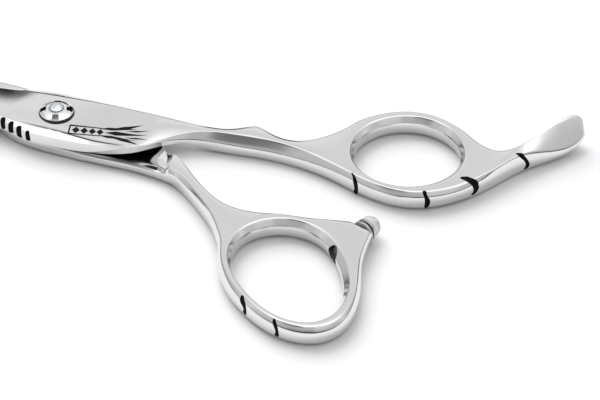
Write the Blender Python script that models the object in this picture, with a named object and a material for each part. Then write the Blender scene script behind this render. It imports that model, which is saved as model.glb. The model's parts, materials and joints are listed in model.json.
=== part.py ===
"""Hair cutting shears, built as an assembly of separate pieces.

Metres, +Z up. The origin is on the pivot axis at the height of the table that
the shears lie on. +X runs from the pivot to the point of the finger blade,
+Z is the pivot axis. The finger half lies on top, the thumb half below it,
and the blades rest slightly open.
"""
import bpy
import bmesh
from math import sin, cos, pi, radians, sqrt, atan2, hypot
from mathutils import Vector, Matrix

MM = 0.001

# ---------------------------------------------------------------- dimensions
REST_OPEN = 6.5          # degrees between the blades as they lie
BLADE_LEN = 63.0         # pivot to point
Z_FLOOR = 0.0            # undersides that rest on the table
Z_LOW_TOP = 2.30         # ride plane of the thumb half
Z_UP_BOT = 2.40          # ride plane of the finger half
Z_HANDLE = 4.30          # top of the shanks and rings
PIVOT_SEAT_Z = 4.72      # seat for the spring stack in the finger blade
DIAL_R = 3.42            # radius of the round screw head
SEAT_R = 3.62            # recess around the round head
BORE_R = 2.60            # bore for the bush in the finger blade
BUSH_OUT = 2.55
BUSH_IN = 2.03
SCREW_R = 1.98           # bearing shoulder of the pivot screw
NUT_R = 3.60
CRYSTAL_R = 1.36
RING_M = 20              # stations around each ring
FINGER_C = (-70.15, -9.97)
FINGER_A0 = -27.5
FINGER_LIP = 11.37
THUMB_C = (-58.5, 31.0)
THUMB_A0 = 0.0
INNER_CHAMFER = 0.90
BUMP_BASE = (-68.1, 14.9)
BUMP_DIR = -112.5
BUMP_Z = 2.40
BUMP_R = 2.30
SPLIT_X = -33.2          # weld line of the finger half
WELD_GAP = 0.10


# ------------------------------------------------------------------ helpers
def lerp(a, b, t):
    return a + (b - a) * t


def periodic(stations, angle):
    """Smooth radius at an angle, from a closed list of (degrees, radius)."""
    st = sorted(stations)
    n = len(st)
    a = angle % 360.0
    i = n - 1
    for k in range(n):
        if st[k][0] <= a:
            i = k
    if a < st[0][0]:
        i = n - 1
    p = [st[(i + d) % n] for d in (-1, 0, 1, 2)]
    a1, a2 = p[1][0], p[2][0]
    span = (a2 - a1) % 360.0
    u = ((a - a1) % 360.0) / span
    h0 = (p[2][1] - p[0][1]) / (((a2 - p[0][0]) % 360.0) / span)
    h1 = (p[3][1] - p[1][1]) / (((p[3][0] - a1) % 360.0) / span)
    u2, u3 = u * u, u * u * u
    return ((2 * u3 - 3 * u2 + 1) * p[1][1] + (u3 - 2 * u2 + u) * h0
            + (3 * u2 - 2 * u3) * p[2][1] + (u3 - u2) * h1)


def polar(c, deg, r):
    a = radians(deg)
    return (c[0] + r * cos(a), c[1] + r * sin(a))


def turn(p, deg):
    a = radians(deg)
    return (p[0] * cos(a) - p[1] * sin(a), p[0] * sin(a) + p[1] * cos(a))


def material(name, rgb, rough, metal=0.0, trans=0.0):
    m = bpy.data.materials.new(name)
    m.use_nodes = True
    b = m.node_tree.nodes["Principled BSDF"]
    b.inputs["Base Color"].default_value = (rgb[0], rgb[1], rgb[2], 1)
    b.inputs["Roughness"].default_value = rough
    b.inputs["Metallic"].default_value = metal
    b.inputs["Transmission Weight"].default_value = trans
    m.diffuse_color = (rgb[0], rgb[1], rgb[2], 1)
    return m


def add_object(name, bm, mat, parent=None, smooth=True, sharp=40.0):
    bmesh.ops.recalc_face_normals(bm, faces=bm.faces[:])
    me = bpy.data.meshes.new(name)
    bm.to_mesh(me)
    bm.free()
    if mat is not None:
        me.materials.append(mat)
    if smooth:
        me.shade_smooth()
        me.set_sharp_from_angle(angle=radians(sharp))
    ob = bpy.data.objects.new(name, me)
    bpy.context.scene.collection.objects.link(ob)
    if parent is not None:
        ob.parent = parent
        ob.matrix_parent_inverse = parent.matrix_world.inverted()
    return ob


def as_cutter(ob):
    ob.hide_render = True
    ob.display_type = 'WIRE'
    ob.hide_set(True)
    return ob


def cut(ob, cutter, op='DIFFERENCE'):
    as_cutter(cutter)
    m = ob.modifiers.new(op.title() + "_" + cutter.name, 'BOOLEAN')
    m.operation = op
    m.solver = 'EXACT'
    m.object = cutter
    return m


# ---------------------------------------------------- subdivision cage class
class Cage:
    """Quad cage of one half: a strip of sections that flows into a ring."""

    def __init__(self):
        self.v = {}
        self.co = []
        self.f = []
        self.cr = {}

    def point(self, key, co):
        self.v[key] = len(self.co)
        self.co.append((co[0] * MM, co[1] * MM, co[2] * MM))

    def face(self, keys):
        self.f.append([self.v[k] for k in keys])

    def crease(self, k1, k2, w):
        a, b = self.v[k1], self.v[k2]
        key = (min(a, b), max(a, b))
        self.cr[key] = max(w, self.cr.get(key, 0.0))

    def mesh(self, name, level):
        bm = bmesh.new()
        vs = [bm.verts.new(c) for c in self.co]
        for f in self.f:
            bm.faces.new([vs[i] for i in f])
        lay = bm.edges.layers.float.new('crease_edge')
        bm.edges.ensure_lookup_table()
        for e in bm.edges:
            k = (min(e.verts[0].index, e.verts[1].index),
                 max(e.verts[0].index, e.verts[1].index))
            a, b = vs.index(e.verts[0]), vs.index(e.verts[1])
            e[lay] = self.cr.get((min(a, b), max(a, b)), 0.0)
        bmesh.ops.recalc_face_normals(bm, faces=bm.faces[:])
        me = bpy.data.meshes.new(name)
        bm.to_mesh(me)
        bm.free()
        ob = bpy.data.objects.new(name, me)
        bpy.context.scene.collection.objects.link(ob)
        m = ob.modifiers.new("Subdivision", 'SUBSURF')
        m.levels = level
        m.render_levels = level
        m.use_limit_surface = False
        return ob


def ring_band(cage, c, a0, lip, out, spec, strips, zt, zm, zb):
    """Closed loop of six-point sections. strips lists (first, columns) of the
    stations where a strip joins, which carry no outer wall of their own."""
    m = RING_M
    k_shrink = 1.0 + (1.0 - cos(2 * pi / m)) / 3.0
    for k in range(m):
        a = a0 + 360.0 / m * k
        s = spec(k, a)
        rl, ro = lip(a) * k_shrink, out(a) * k_shrink
        top = s.get('zt', zt)
        mid = s.get('zm', zm)
        bo = s.get('bo', 0.85)
        ci = s.get('ci', INNER_CHAMFER)
        om = s.get('om') or polar(c, a, ro)
        d = hypot(om[0] - c[0], om[1] - c[1])
        ux, uy = (om[0] - c[0]) / d, (om[1] - c[1]) / d
        cage.point(('it', k), polar(c, a, rl) + (top,))
        cage.point(('im', k), polar(c, a, rl - ci) + (s.get('zmi', top - 1.15),))
        cage.point(('in', k), polar(c, a, rl - ci - 0.13) + (s.get('zmi', top - 1.15) - 0.36,))
        cage.point(('ib', k), polar(c, a, rl - ci + 0.10) + (zb,))
        cage.point(('ob', k), (om[0] - ux * 0.30, om[1] - uy * 0.30, zb))
        cage.point(('om', k), om + (mid,))
        cage.point(('ot', k), (om[0] - ux * bo, om[1] - uy * bo, top))
    joined = set()
    for first, cols in strips:
        for q in range(cols):
            joined.add((first + q) % m)
    for k in range(m):
        n = (k + 1) % m
        cage.face([('it', k), ('ot', k), ('ot', n), ('it', n)])
        cage.face([('ob', k), ('ib', k), ('ib', n), ('ob', n)])
        cage.face([('ib', k), ('in', k), ('in', n), ('ib', n)])
        cage.face([('in', k), ('im', k), ('im', n), ('in', n)])
        cage.face([('im', k), ('it', k), ('it', n), ('im', n)])
        cage.crease(('it', k), ('it', n), 0.42)
        cage.crease(('im', k), ('im', n), 0.65)
        cage.crease(('in', k), ('in', n), 0.65)
        cage.crease(('ib', k), ('ib', n), 0.25)
        if k not in joined:
            cage.face([('ot', k), ('om', k), ('om', n), ('ot', n)])
            cage.face([('om', k), ('ob', k), ('ob', n), ('om', n)])
            s = spec(k, a0 + 360.0 / m * k)
            cage.crease(('ot', k), ('ot', n), s.get('cro', 0.40))
            cage.crease(('om', k), ('om', n), s.get('crm', 0.36))
            cage.crease(('ob', k), ('ob', n), 0.25)


def strip_band(cage, tag, rows, nc, first, cap):
    """Rows of sections from the free end to ring stations first..first+nc.

    A row holds: F and N outline points, the widths of the two side slopes,
    five heights (F side, F ridge, middle, N ridge, N side), the underside
    height, the underside inset, creases (ridge F, ridge N, side, underside)
    and the shape exponent of the section (0 for a flat top)."""
    n = nc + 2
    for i, r in enumerate(rows):
        F, N = Vector(r['F']), Vector(r['N'])
        d = (N - F)
        w = d.length
        d = d / w
        zF0, zF1, zM, zN1, zN0 = r['z']
        p1, pn = F + d * min(r['bF'], 0.45 * w), N - d * min(r['bN'], 0.45 * w)
        cage.point((tag, 't', i, 0), (F.x, F.y, zF0))
        cage.point((tag, 't', i, n), (N.x, N.y, zN0))
        for j in range(1, n):
            u = (j - 1) / (n - 2)
            if r.get('lip') and j == n - 2:
                u = lerp(u, 1.0, 0.5)
            p = p1.lerp(pn, u)
            if r.get('convex'):
                z = lerp(zF1, zN1, 1 - (1 - u) ** r['convex'])
            else:
                z = lerp(zF1, zN1, u) + (zM - 0.5 * (zF1 + zN1)) * sin(pi * u)
            if r.get('lip') and j > 1:
                z = min(1.0, (j - 1) / (n - 4.0))
                z = lerp(zF1, zN1 - r['lip'], z) if j < n - 1 else zN1
            cage.point((tag, 't', i, j), (p.x, p.y, z))
        ins = r.get('ins', 0.30)
        b1, bn = F + d * min(ins, 0.3 * w), N - d * min(ins, 0.3 * w)
        for j in range(1, n):
            u = (j - 1) / (n - 2)
            p = b1.lerp(bn, u)
            cage.point((tag, 'b', i, j), (p.x, p.y, r['zb']))
    def loop(i):
        if i < len(rows):
            return ([(tag, 't', i, j) for j in range(0, n + 1)]
                    + [(tag, 'b', i, j) for j in range(n - 1, 0, -1)])
        k = [(first + j) % RING_M for j in range(nc + 1)]
        return ([('om', k[0])] + [('ot', q) for q in k] + [('om', k[-1])]
                + [('ob', q) for q in reversed(k)])
    R = len(rows)
    for i in range(R):
        A, B = loop(i), loop(i + 1)
        L = len(A)
        for q in range(L):
            cage.face([A[q], A[(q + 1) % L], B[(q + 1) % L], B[q]])
        r = rows[i]
        cF, cN, cS, cB = r['cr']
        cage.crease(A[1], B[1], cF)
        cage.crease(A[n - 1], B[n - 1], cN)
        cage.crease(A[0], B[0], r.get('crF', cS))
        cage.crease(A[n], B[n], cS)
        cage.crease(A[n + 1], B[n + 1], cB)
        cage.crease(A[-1], B[-1], cB)
        if r.get('line'):
            for q in range(1, n - 1):
                cage.crease(A[q], A[q + 1], r['line'])
        if r.get('under'):
            for q in range(n + 1, L - 1):
                cage.crease(A[q], A[q + 1], r['under'])
    A = loop(0)
    if cap == 'point':
        cage.face(list(reversed(A)))
        for q in range(len(A)):
            cage.crease(A[q], A[(q + 1) % len(A)], 1.0)
    else:
        t = [(tag, 't', 0, j) for j in range(n + 1)]
        b = [None] + [(tag, 'b', 0, j) for j in range(1, n)]
        cage.face([b[1], t[1], t[0]])
        for j in range(1, n - 1):
            cage.face([b[j], b[j + 1], t[j + 1], t[j]])
        cage.face([b[n - 1], t[n], t[n - 1]])


def row(F, N, bF, bN, z, zb, cr=(0.35, 0.40, 0.36, 0.25), **kw):
    d = dict(F=F, N=N, bF=bF, bN=bN, z=z, zb=zb, cr=cr)
    d.update(kw)
    return d


# ------------------------------------------------------------- finger half
def blade_rows_finger():
    """Point to heel. F is the cutting edge, N is the spine."""
    rows = []
    table = [  # x, edge y, spine y, thickness at the spine, spine slope
        (62.9, -1.20, -0.75, 0.55, 0.15),
        (58.0, -2.25, 0.45, 1.15, 0.45),
        (50.0, -3.55, 1.50, 1.55, 0.55),
        (40.0, -4.95, 2.55, 1.90, 0.60),
        (30.0, -6.15, 3.50, 2.15, 0.60),
        (21.5, -7.05, 4.25, 2.35, 0.60),
        (15.8, -7.60, 4.75, 2.45, 0.60),
        (12.8, -7.95, 5.00, 2.50, 0.60),
    ]
    for x, ye, ys, th, bn in table:
        z = Z_UP_BOT
        rows.append(row((x, ye), (x, ys), 0.7, bn,
                        (z + 0.10, z + 0.28 * th, z + th, z + th, z + th - 0.45),
                        z, cr=(0.0, 0.45, 0.45, 1.0), convex=1.9, ins=0.0,
                        crF=1.0))
    return rows


def finger_rows():
    z = Z_UP_BOT
    rows = blade_rows_finger()
    ride = (0.40, 0.75, 0.80, 1.0)
    rows += [
        row((10.6, -8.20), (10.6, 5.15), 0.6, 0.6, (z + .12, z + .95, 4.85, 4.92, 4.45), z,
            cr=ride, ins=0.0, crF=1.0, convex=2.2),
        row((9.0, -7.95), (9.1, 5.60), 1.5, 0.8, (3.00, 3.95, 4.85, 5.00, 4.5), z, cr=ride, ins=0.0, crF=0.5),
        row((6.8, -7.65), (7.0, 6.25), 1.8, 1.0, (3.70, 4.45, 4.98, 5.10, 4.55), z, cr=ride, ins=0.0, crF=0.5, lip=0.12),
        row((3.6, -7.45), (3.6, 7.35), 1.9, 1.5, (4.0, 4.65, 5.0, 5.24, 4.60), z, cr=ride, ins=0.0, crF=0.5, lip=0.26),
        row((-0.5, -7.30), (-0.5, 7.65), 1.7, 1.6, (4.05, 4.7, 5.0, 5.24, 4.58), z, cr=ride, ins=0.0, crF=0.5, lip=0.32),
        row((-5.0, -7.20), (-5.0, 7.62), 1.4, 1.3, (4.1, 4.7, 4.9, 5.14, 4.52), z, cr=ride, ins=0.0, crF=0.5, lip=0.36),
        row((-10.0, -6.95), (-10.0, 7.45), 1.1, 0.65, (4.1, 4.65, 4.7, 4.86, 4.45), z, cr=ride, ins=0.0, crF=0.5, lip=0.38),
        row((-14.2, -6.70), (-13.8, 6.55), 1.0, 0.40, (4.1, 4.6, 4.5, 4.52, 4.18), z, cr=ride, ins=0.0, crF=0.5, lip=0.32),
        row((-18.0, -6.60), (-17.6, 5.25), 1.0, 0.35, (4.05, 4.5, 4.3, 4.08, 3.82), z, cr=ride, ins=0.0, crF=0.5, lip=0.16),
        row((-21.0, -6.50), (-20.2, 3.05), 1.0, 0.35, (4.0, 4.45, 4.5, 3.6, 3.45), z, cr=ride, ins=0.0),
        row((-23.8, -6.40), (-22.8, 0.75), 1.0, 0.5, (3.9, 4.4, 4.45, 3.85, 3.50), z,
            cr=(0.38, 0.5, 0.4, 0.6), ins=0.0),
        row((-27.0, -6.35), (-26.3, -1.35), 1.0, 0.9, (3.6, 4.35, 4.45, 4.3, 3.10), z - 0.1,
            cr=(0.38, 0.45, 0.4, 0.4), ins=0.05, under=0.5),
        row((-30.4, -6.45), (-30.2, -2.65), 1.0, 1.3, (3.2, 4.25, 4.42, 4.38, 2.80), 0.45,
            cr=(0.38, 0.45, 0.4, 0.3), ins=0.2, under=0.35),
        row((-34.2, -7.05), (-34.2, -2.80), 1.2, 1.7, (2.9, 4.2, 4.42, 4.38, 2.70), 0.12),
        row((-37.1, -9.15), (-37.1, -3.00), 1.7, 1.8, (2.8, 4.2, 4.41, 4.35, 2.60), Z_FLOOR),
        row((-39.0, -10.85), (-39.6, -3.20), 1.9, 1.8, (2.8, 4.25, 4.42, 4.33, 2.55), Z_FLOOR),
        row((-41.6, -9.35), (-42.2, -3.35), 1.6, 1.7, (2.8, 4.15, 4.36, 4.30, 2.48), Z_FLOOR),
        row((-44.3, -7.75), (-44.7, -3.35), 1.1, 1.6, (2.8, 4.12, 4.33, 4.28, 2.42), Z_FLOOR),
        row((-47.2, -7.25), (-47.2, -3.20), 1.0, 1.45, (2.8, 4.10, 4.30, 4.25, 2.40), Z_FLOOR),
        row((-50.8, -8.35), (-51.4, -2.55), 1.0, 1.3, (2.9, 4.10, 4.28, 4.25, 2.55), Z_FLOOR),
        row((-54.2, -11.6), (-55.6, -1.40), 1.0, 1.15, (3.0, 4.15, 4.28, 4.25, 2.80), Z_FLOOR),
        row((-56.6, -14.6), (-59.6, 0.15), 0.9, 1.0, (3.1, 4.20, 4.27, 4.27, 3.00), Z_FLOOR),
    ]
    return rows


def finger_out(a):
    return periodic([(332.5, 14.30), (350.5, 14.6), (8.5, 14.8), (26.5, 14.8),
                     (44.5, 14.0), (62.5, 13.25), (80.5, 13.05), (98.5, 13.45),
                     (116.5, 13.95), (134.5, 14.50), (152.5, 15.6), (170.5, 16.2),
                     (188.5, 15.9), (206.5, 14.75), (224.5, 13.85), (242.5, 13.45),
                     (260.5, 13.55), (278.5, 13.60), (296.5, 13.65), (314.5, 13.75)], a)


def tang_rows():
    """Free end first. F is the near side, N the far side."""
    c = (0.45, 0.40, 0.0, 0.25)
    return [
        row((-102.35, -27.2), (-101.3, -29.1), 0.30, 0.35, (2.9, 3.5, 4.8, 5.7, 5.2), 2.1,
            cr=(0.0, 0.0, 0.0, 0.0), ins=0.2),
        row((-101.7, -25.0), (-99.3, -28.9), 0.40, 0.45, (2.0, 2.8, 5.2, 7.1, 6.2), 1.1,
            cr=(0.15, 0.20, 0.0, 0.2), ins=0.35),
        row((-100.1, -22.3), (-97.4, -26.3), 0.45, 0.50, (1.8, 2.7, 5.1, 7.15, 6.2), 0.60, cr=c, ins=0.45),
        row((-97.8, -19.9), (-95.2, -23.4), 0.50, 0.60, (2.0, 3.1, 4.9, 6.5, 5.5), 0.45, cr=c, ins=0.4),
        row((-95.2, -17.6), (-93.1, -20.7), 0.60, 0.80, (2.5, 3.9, 4.9, 5.7, 4.6), 0.35, cr=c),
        row((-92.7, -15.3), (-91.0, -18.5), 0.70, 1.0, (2.9, 4.5, 4.85, 5.05, 3.9), 0.20, cr=c),
        row((-90.3, -11.9), (-88.9, -16.8), 0.8, 1.1, (3.1, 4.65, 4.7, 4.55, 3.4), 0.08,
            cr=(0.45, 0.40, 0.15, 0.25)),
        row((-88.0, -8.20), (-86.6, -15.75), 0.8, 1.1, (3.1, 4.42, 4.45, 4.4, 3.2), Z_FLOOR,
            cr=(0.42, 0.40, 0.28, 0.25)),
    ]


def finger_cage():
    cg = Cage()
    def spec(k, a):
        return {}
    ring_band(cg, FINGER_C, FINGER_A0, lambda a: FINGER_LIP, finger_out, spec,
              [(0, 5), (10, 3)], Z_HANDLE, Z_HANDLE - 1.10, Z_FLOOR)
    strip_band(cg, 's', finger_rows(), 5, 0, 'point')
    strip_band(cg, 'g', tang_rows(), 3, 10, 'quads')
    return cg


# -------------------------------------------------------------- thumb half
def thumb_blade_rows():
    """Point to heel, in the closed position, then turned to the rest angle.
    F is the spine, N is the cutting edge; the flat inner face is on top."""
    rows = []
    zt = Z_LOW_TOP
    table = [  # x, spine y, edge y, thickness
        (62.9, -1.25, -0.80, 0.55),
        (58.0, -2.35, 0.35, 1.15),
        (50.0, -3.75, 1.35, 1.50),
        (40.0, -5.20, 2.40, 1.80),
        (30.0, -6.50, 3.35, 2.00),
        (21.5, -7.40, 4.10, 2.15),
        (15.8, -7.75, 4.60, 2.20),
        (12.8, -7.85, 4.90, 2.20),
        (10.6, -7.85, 5.35, 2.20),
    ]
    for x, ys, ye, th in table:
        F, N = turn((x, ys), -REST_OPEN), turn((x, ye), -REST_OPEN)
        rows.append(dict(F=F, N=N, th=th, x=x, edge=True))
    for x, yf, yn in [(8.6, -7.70, 6.10), (5.0, -7.60, 7.15), (0.0, -7.45, 7.45),
                      (-5.0, -7.0, 7.10)]:
        rows.append(dict(F=turn((x, yf), -REST_OPEN), N=turn((x, yn), -REST_OPEN),
                         th=2.2, x=x, edge=False))
    return rows


def thumb_rows():
    zt = Z_LOW_TOP
    rows = []
    for r in thumb_blade_rows():
        zb = zt - r['th']
        if r['edge']:
            rows.append(row(r['F'], r['N'], 0.25, 0.25, (zt - 0.12, zt, zt, zt, zt - 0.10),
                            zb, cr=(1.0, 1.0, 1.0, 0.4), ins=0.6))
        else:
            rows.append(row(r['F'], r['N'], 0.25, 0.25, (zt - 0.2, zt, zt, zt, zt - 0.2),
                            zb, cr=(0.7, 0.6, 0.5, 0.45), ins=0.30))
    flat = (0.7, 0.6, 0.5, 0.35)
    rows += [
        row((-9.0, -5.90), (-9.5, 8.10), 0.25, 0.3, (zt - .25, zt, zt - .10, zt, zt - .3), 0.08, cr=flat),
        row((-14.0, -4.90), (-14.5, 8.10), 0.25, 0.3, (zt - .25, zt, zt - 1.15, zt, zt - .3), 0.06, cr=flat),
        row((-18.6, -2.90), (-19.5, 8.15), 0.25, 0.35, (zt - .25, zt, zt - 1.40, zt, zt - .3), 0.05, cr=flat),
        row((-22.4, 0.20), (-23.6, 8.75), 0.25, 0.4, (zt - .25, zt, zt - 1.30, zt, zt - .3), 0.05, cr=flat),
        row((-24.6, 2.75), (-25.8, 9.20), 0.25, 0.45, (zt - .6, zt - .45, zt - 1.25, zt, zt - .3), 0.05,
            cr=flat, line=0.55),
        row((-26.5, 4.05), (-27.1, 9.70), 0.35, 0.55, (3.1, 3.85, 4.00, 3.85, 3.0), 0.05,
            cr=(0.55, 0.5, 0.4, 0.25), line=0.6),
        row((-29.0, 5.60), (-28.4, 10.25), 0.5, 0.7, (3.2, 4.05, 4.20, 4.05, 3.1), 0.05,
            cr=(0.45, 0.4, 0.36, 0.25)),
        row((-31.2, 7.75), (-30.0, 11.35), 0.8, 0.9, (3.2, 4.15, 4.30, 4.15, 3.1), Z_FLOOR),
        row((-35.0, 11.35), (-33.1, 13.95), 0.8, 0.8, (3.0, 4.20, 4.32, 4.20, 2.9), Z_FLOOR),
        row((-38.6, 14.25), (-36.2, 17.0), 0.8, 0.8, (3.0, 4.20, 4.32, 4.20, 2.9), Z_FLOOR),
        row((-42.2, 16.15), (-39.0, 19.9), 0.8, 0.8, (3.0, 4.20, 4.32, 4.20, 2.9), Z_FLOOR),
        row((-46.0, 16.55), (-41.3, 23.2), 0.8, 0.8, (3.0, 4.20, 4.32, 4.20, 2.9), Z_FLOOR),
        row((-49.6, 16.15), (-42.6, 25.6), 0.8, 0.8, (3.0, 4.22, 4.32, 4.22, 2.9), Z_FLOOR),
    ]
    return rows


def thumb_lip(a):
    return periodic([(0, 11.95), (18, 10.55), (36, 9.95), (54, 9.95), (72, 10.65),
                     (90, 12.15), (108, 14.25), (126, 15.85), (144, 15.15), (162, 13.35),
                     (180, 12.05), (198, 11.25), (216, 11.05), (234, 11.50), (252, 12.55),
                     (270, 13.75), (288, 14.65), (306, 15.05), (324, 14.70), (342, 13.45)], a)


def thumb_out(a):
    return periodic([(0, 13.85), (18, 12.45), (36, 11.75), (54, 11.65), (72, 12.35),
                     (90, 13.95), (108, 16.20), (126, 18.05), (144, 17.55), (162, 15.55),
                     (180, 14.10), (198, 13.55), (216, 14.60), (234, 18.4), (252, 17.8),
                     (270, 16.05), (288, 16.55), (306, 18.0), (324, 17.6), (342, 15.95)], a)


def thumb_cage():
    cg = Cage()
    bx, by = BUMP_BASE
    px, py = -sin(radians(BUMP_DIR)), cos(radians(BUMP_DIR))
    e1 = (bx - px * 2.45, by - py * 2.45)
    e2 = (bx + px * 2.45, by + py * 2.45)
    def spec(k, a):
        s = {'bo': 0.95, 'zm': 2.9, 'cro': 0.25, 'crm': 0.25}
        if k in (13, 14):
            s = {'om': e1 if k == 13 else e2, 'bo': 0.5, 'zm': 3.3, 'zt': 4.32,
                 'cro': 0.45, 'crm': 0.4}
        if k in (11, 12):
            s = {'bo': 0.8, 'zm': 3.0, 'cro': 0.3, 'crm': 0.3}
        s['ci'] = {8: 1.0, 9: 1.15, 10: 1.3, 11: 1.4, 12: 1.4, 13: 1.3, 14: 1.1}.get(k, INNER_CHAMFER)
        return s
    ring_band(cg, THUMB_C, THUMB_A0, thumb_lip, thumb_out, spec,
              [(16, 3)], Z_HANDLE, 3.0, Z_FLOOR)
    strip_band(cg, 's', thumb_rows(), 3, 16, 'point')
    for k in (13, 14):
        cg.crease(('om', k), ('ot', k), 0.5)
        cg.crease(('om', k), ('ob', k), 0.5)
    return cg


# --------------------------------------------------------- round solid pieces
def lathe(name, profile, mat, centre=(0, 0, 0), axis=(0, 0, 1), seg=32, parent=None,
          sharp=35.0):
    """Turned solid. profile: (radius, height) from the bottom up the outside
    and back down the inside; a radius of 0 closes on the axis."""
    bm = bmesh.new()
    q = Vector((0, 0, 1)).rotation_difference(Vector(axis).normalized()).to_matrix()
    rings = []
    for r, h in profile:
        if r <= 1e-9:
            rings.append([bm.verts.new(Vector(centre) * MM + q @ Vector((0, 0, h * MM)))])
        else:
            rings.append([bm.verts.new(Vector(centre) * MM + q @ Vector(
                (r * MM * cos(2 * pi * k / seg), r * MM * sin(2 * pi * k / seg), h * MM)))
                for k in range(seg)])
    pairs = list(zip(rings[:-1], rings[1:]))
    if len(rings[0]) > 1 or len(rings[-1]) > 1:
        pairs.append((rings[-1], rings[0]))
    for A, B in pairs:
        for k in range(seg):
            n = (k + 1) % seg
            if len(A) > 1 and len(B) > 1:
                bm.faces.new([A[k], A[n], B[n], B[k]])
        if len(A) == 1 and len(B) > 1:
            bm.faces.new(list(reversed(B)))
        elif len(B) == 1 and len(A) > 1:
            bm.faces.new(A)
    for A in rings:
        if len(A) == 1:
            bm.verts.remove(A[0])
    return add_object(name, bm, mat, parent, sharp=sharp)


def prism(name, outline, z0, z1, mat=None, parent=None):
    bm = bmesh.new()
    lo = [bm.verts.new((x * MM, y * MM, z0 * MM)) for x, y in outline]
    hi = [bm.verts.new((x * MM, y * MM, z1 * MM)) for x, y in outline]
    n = len(outline)
    bm.faces.new(list(reversed(lo)))
    bm.faces.new(hi)
    for k in range(n):
        bm.faces.new([lo[k], lo[(k + 1) % n], hi[(k + 1) % n], hi[k]])
    return add_object(name, bm, mat, parent, smooth=False)


def wedge(name, a, b, half, inward, depth, z0, z1, grow=0.0, mat=None):
    """Bar across a wall, narrower towards its bottom edge inside the wall.
    a and b are its plan points at heights z0 and z1, half its half width,
    inward a unit vector; grow makes the slot that the bar lies in."""
    dx, dy = inward
    tx, ty = -dy, dx
    e = 0.5 if grow > 0 else 0.0
    sx, sy = (b[0] - a[0]) / (z1 - z0), (b[1] - a[1]) / (z1 - z0)
    bm = bmesh.new()
    vs = []
    for (cx, cy), z, d in ((a, z0, -e), (b, z1, e)):
        cx, cy, z = cx + sx * d, cy + sy * d, z + d
        for s, w in ((-1, 0.0), (1, 0.0), (1, 1.0), (-1, 1.0)):
            hx = (half + grow) if w == 0.0 else (half * 0.45 + grow)
            off = -1.2 if w == 0.0 else depth + grow
            vs.append(bm.verts.new(((cx + tx * s * hx + dx * off) * MM,
                                    (cy + ty * s * hx + dy * off) * MM, z * MM)))
    for f in ((3, 2, 1, 0), (4, 5, 6, 7), (0, 1, 5, 4), (1, 2, 6, 5), (2, 3, 7, 6), (3, 0, 4, 7)):
        bm.faces.new([vs[i] for i in f])
    return add_object(name, bm, mat, None, smooth=False)


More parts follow.
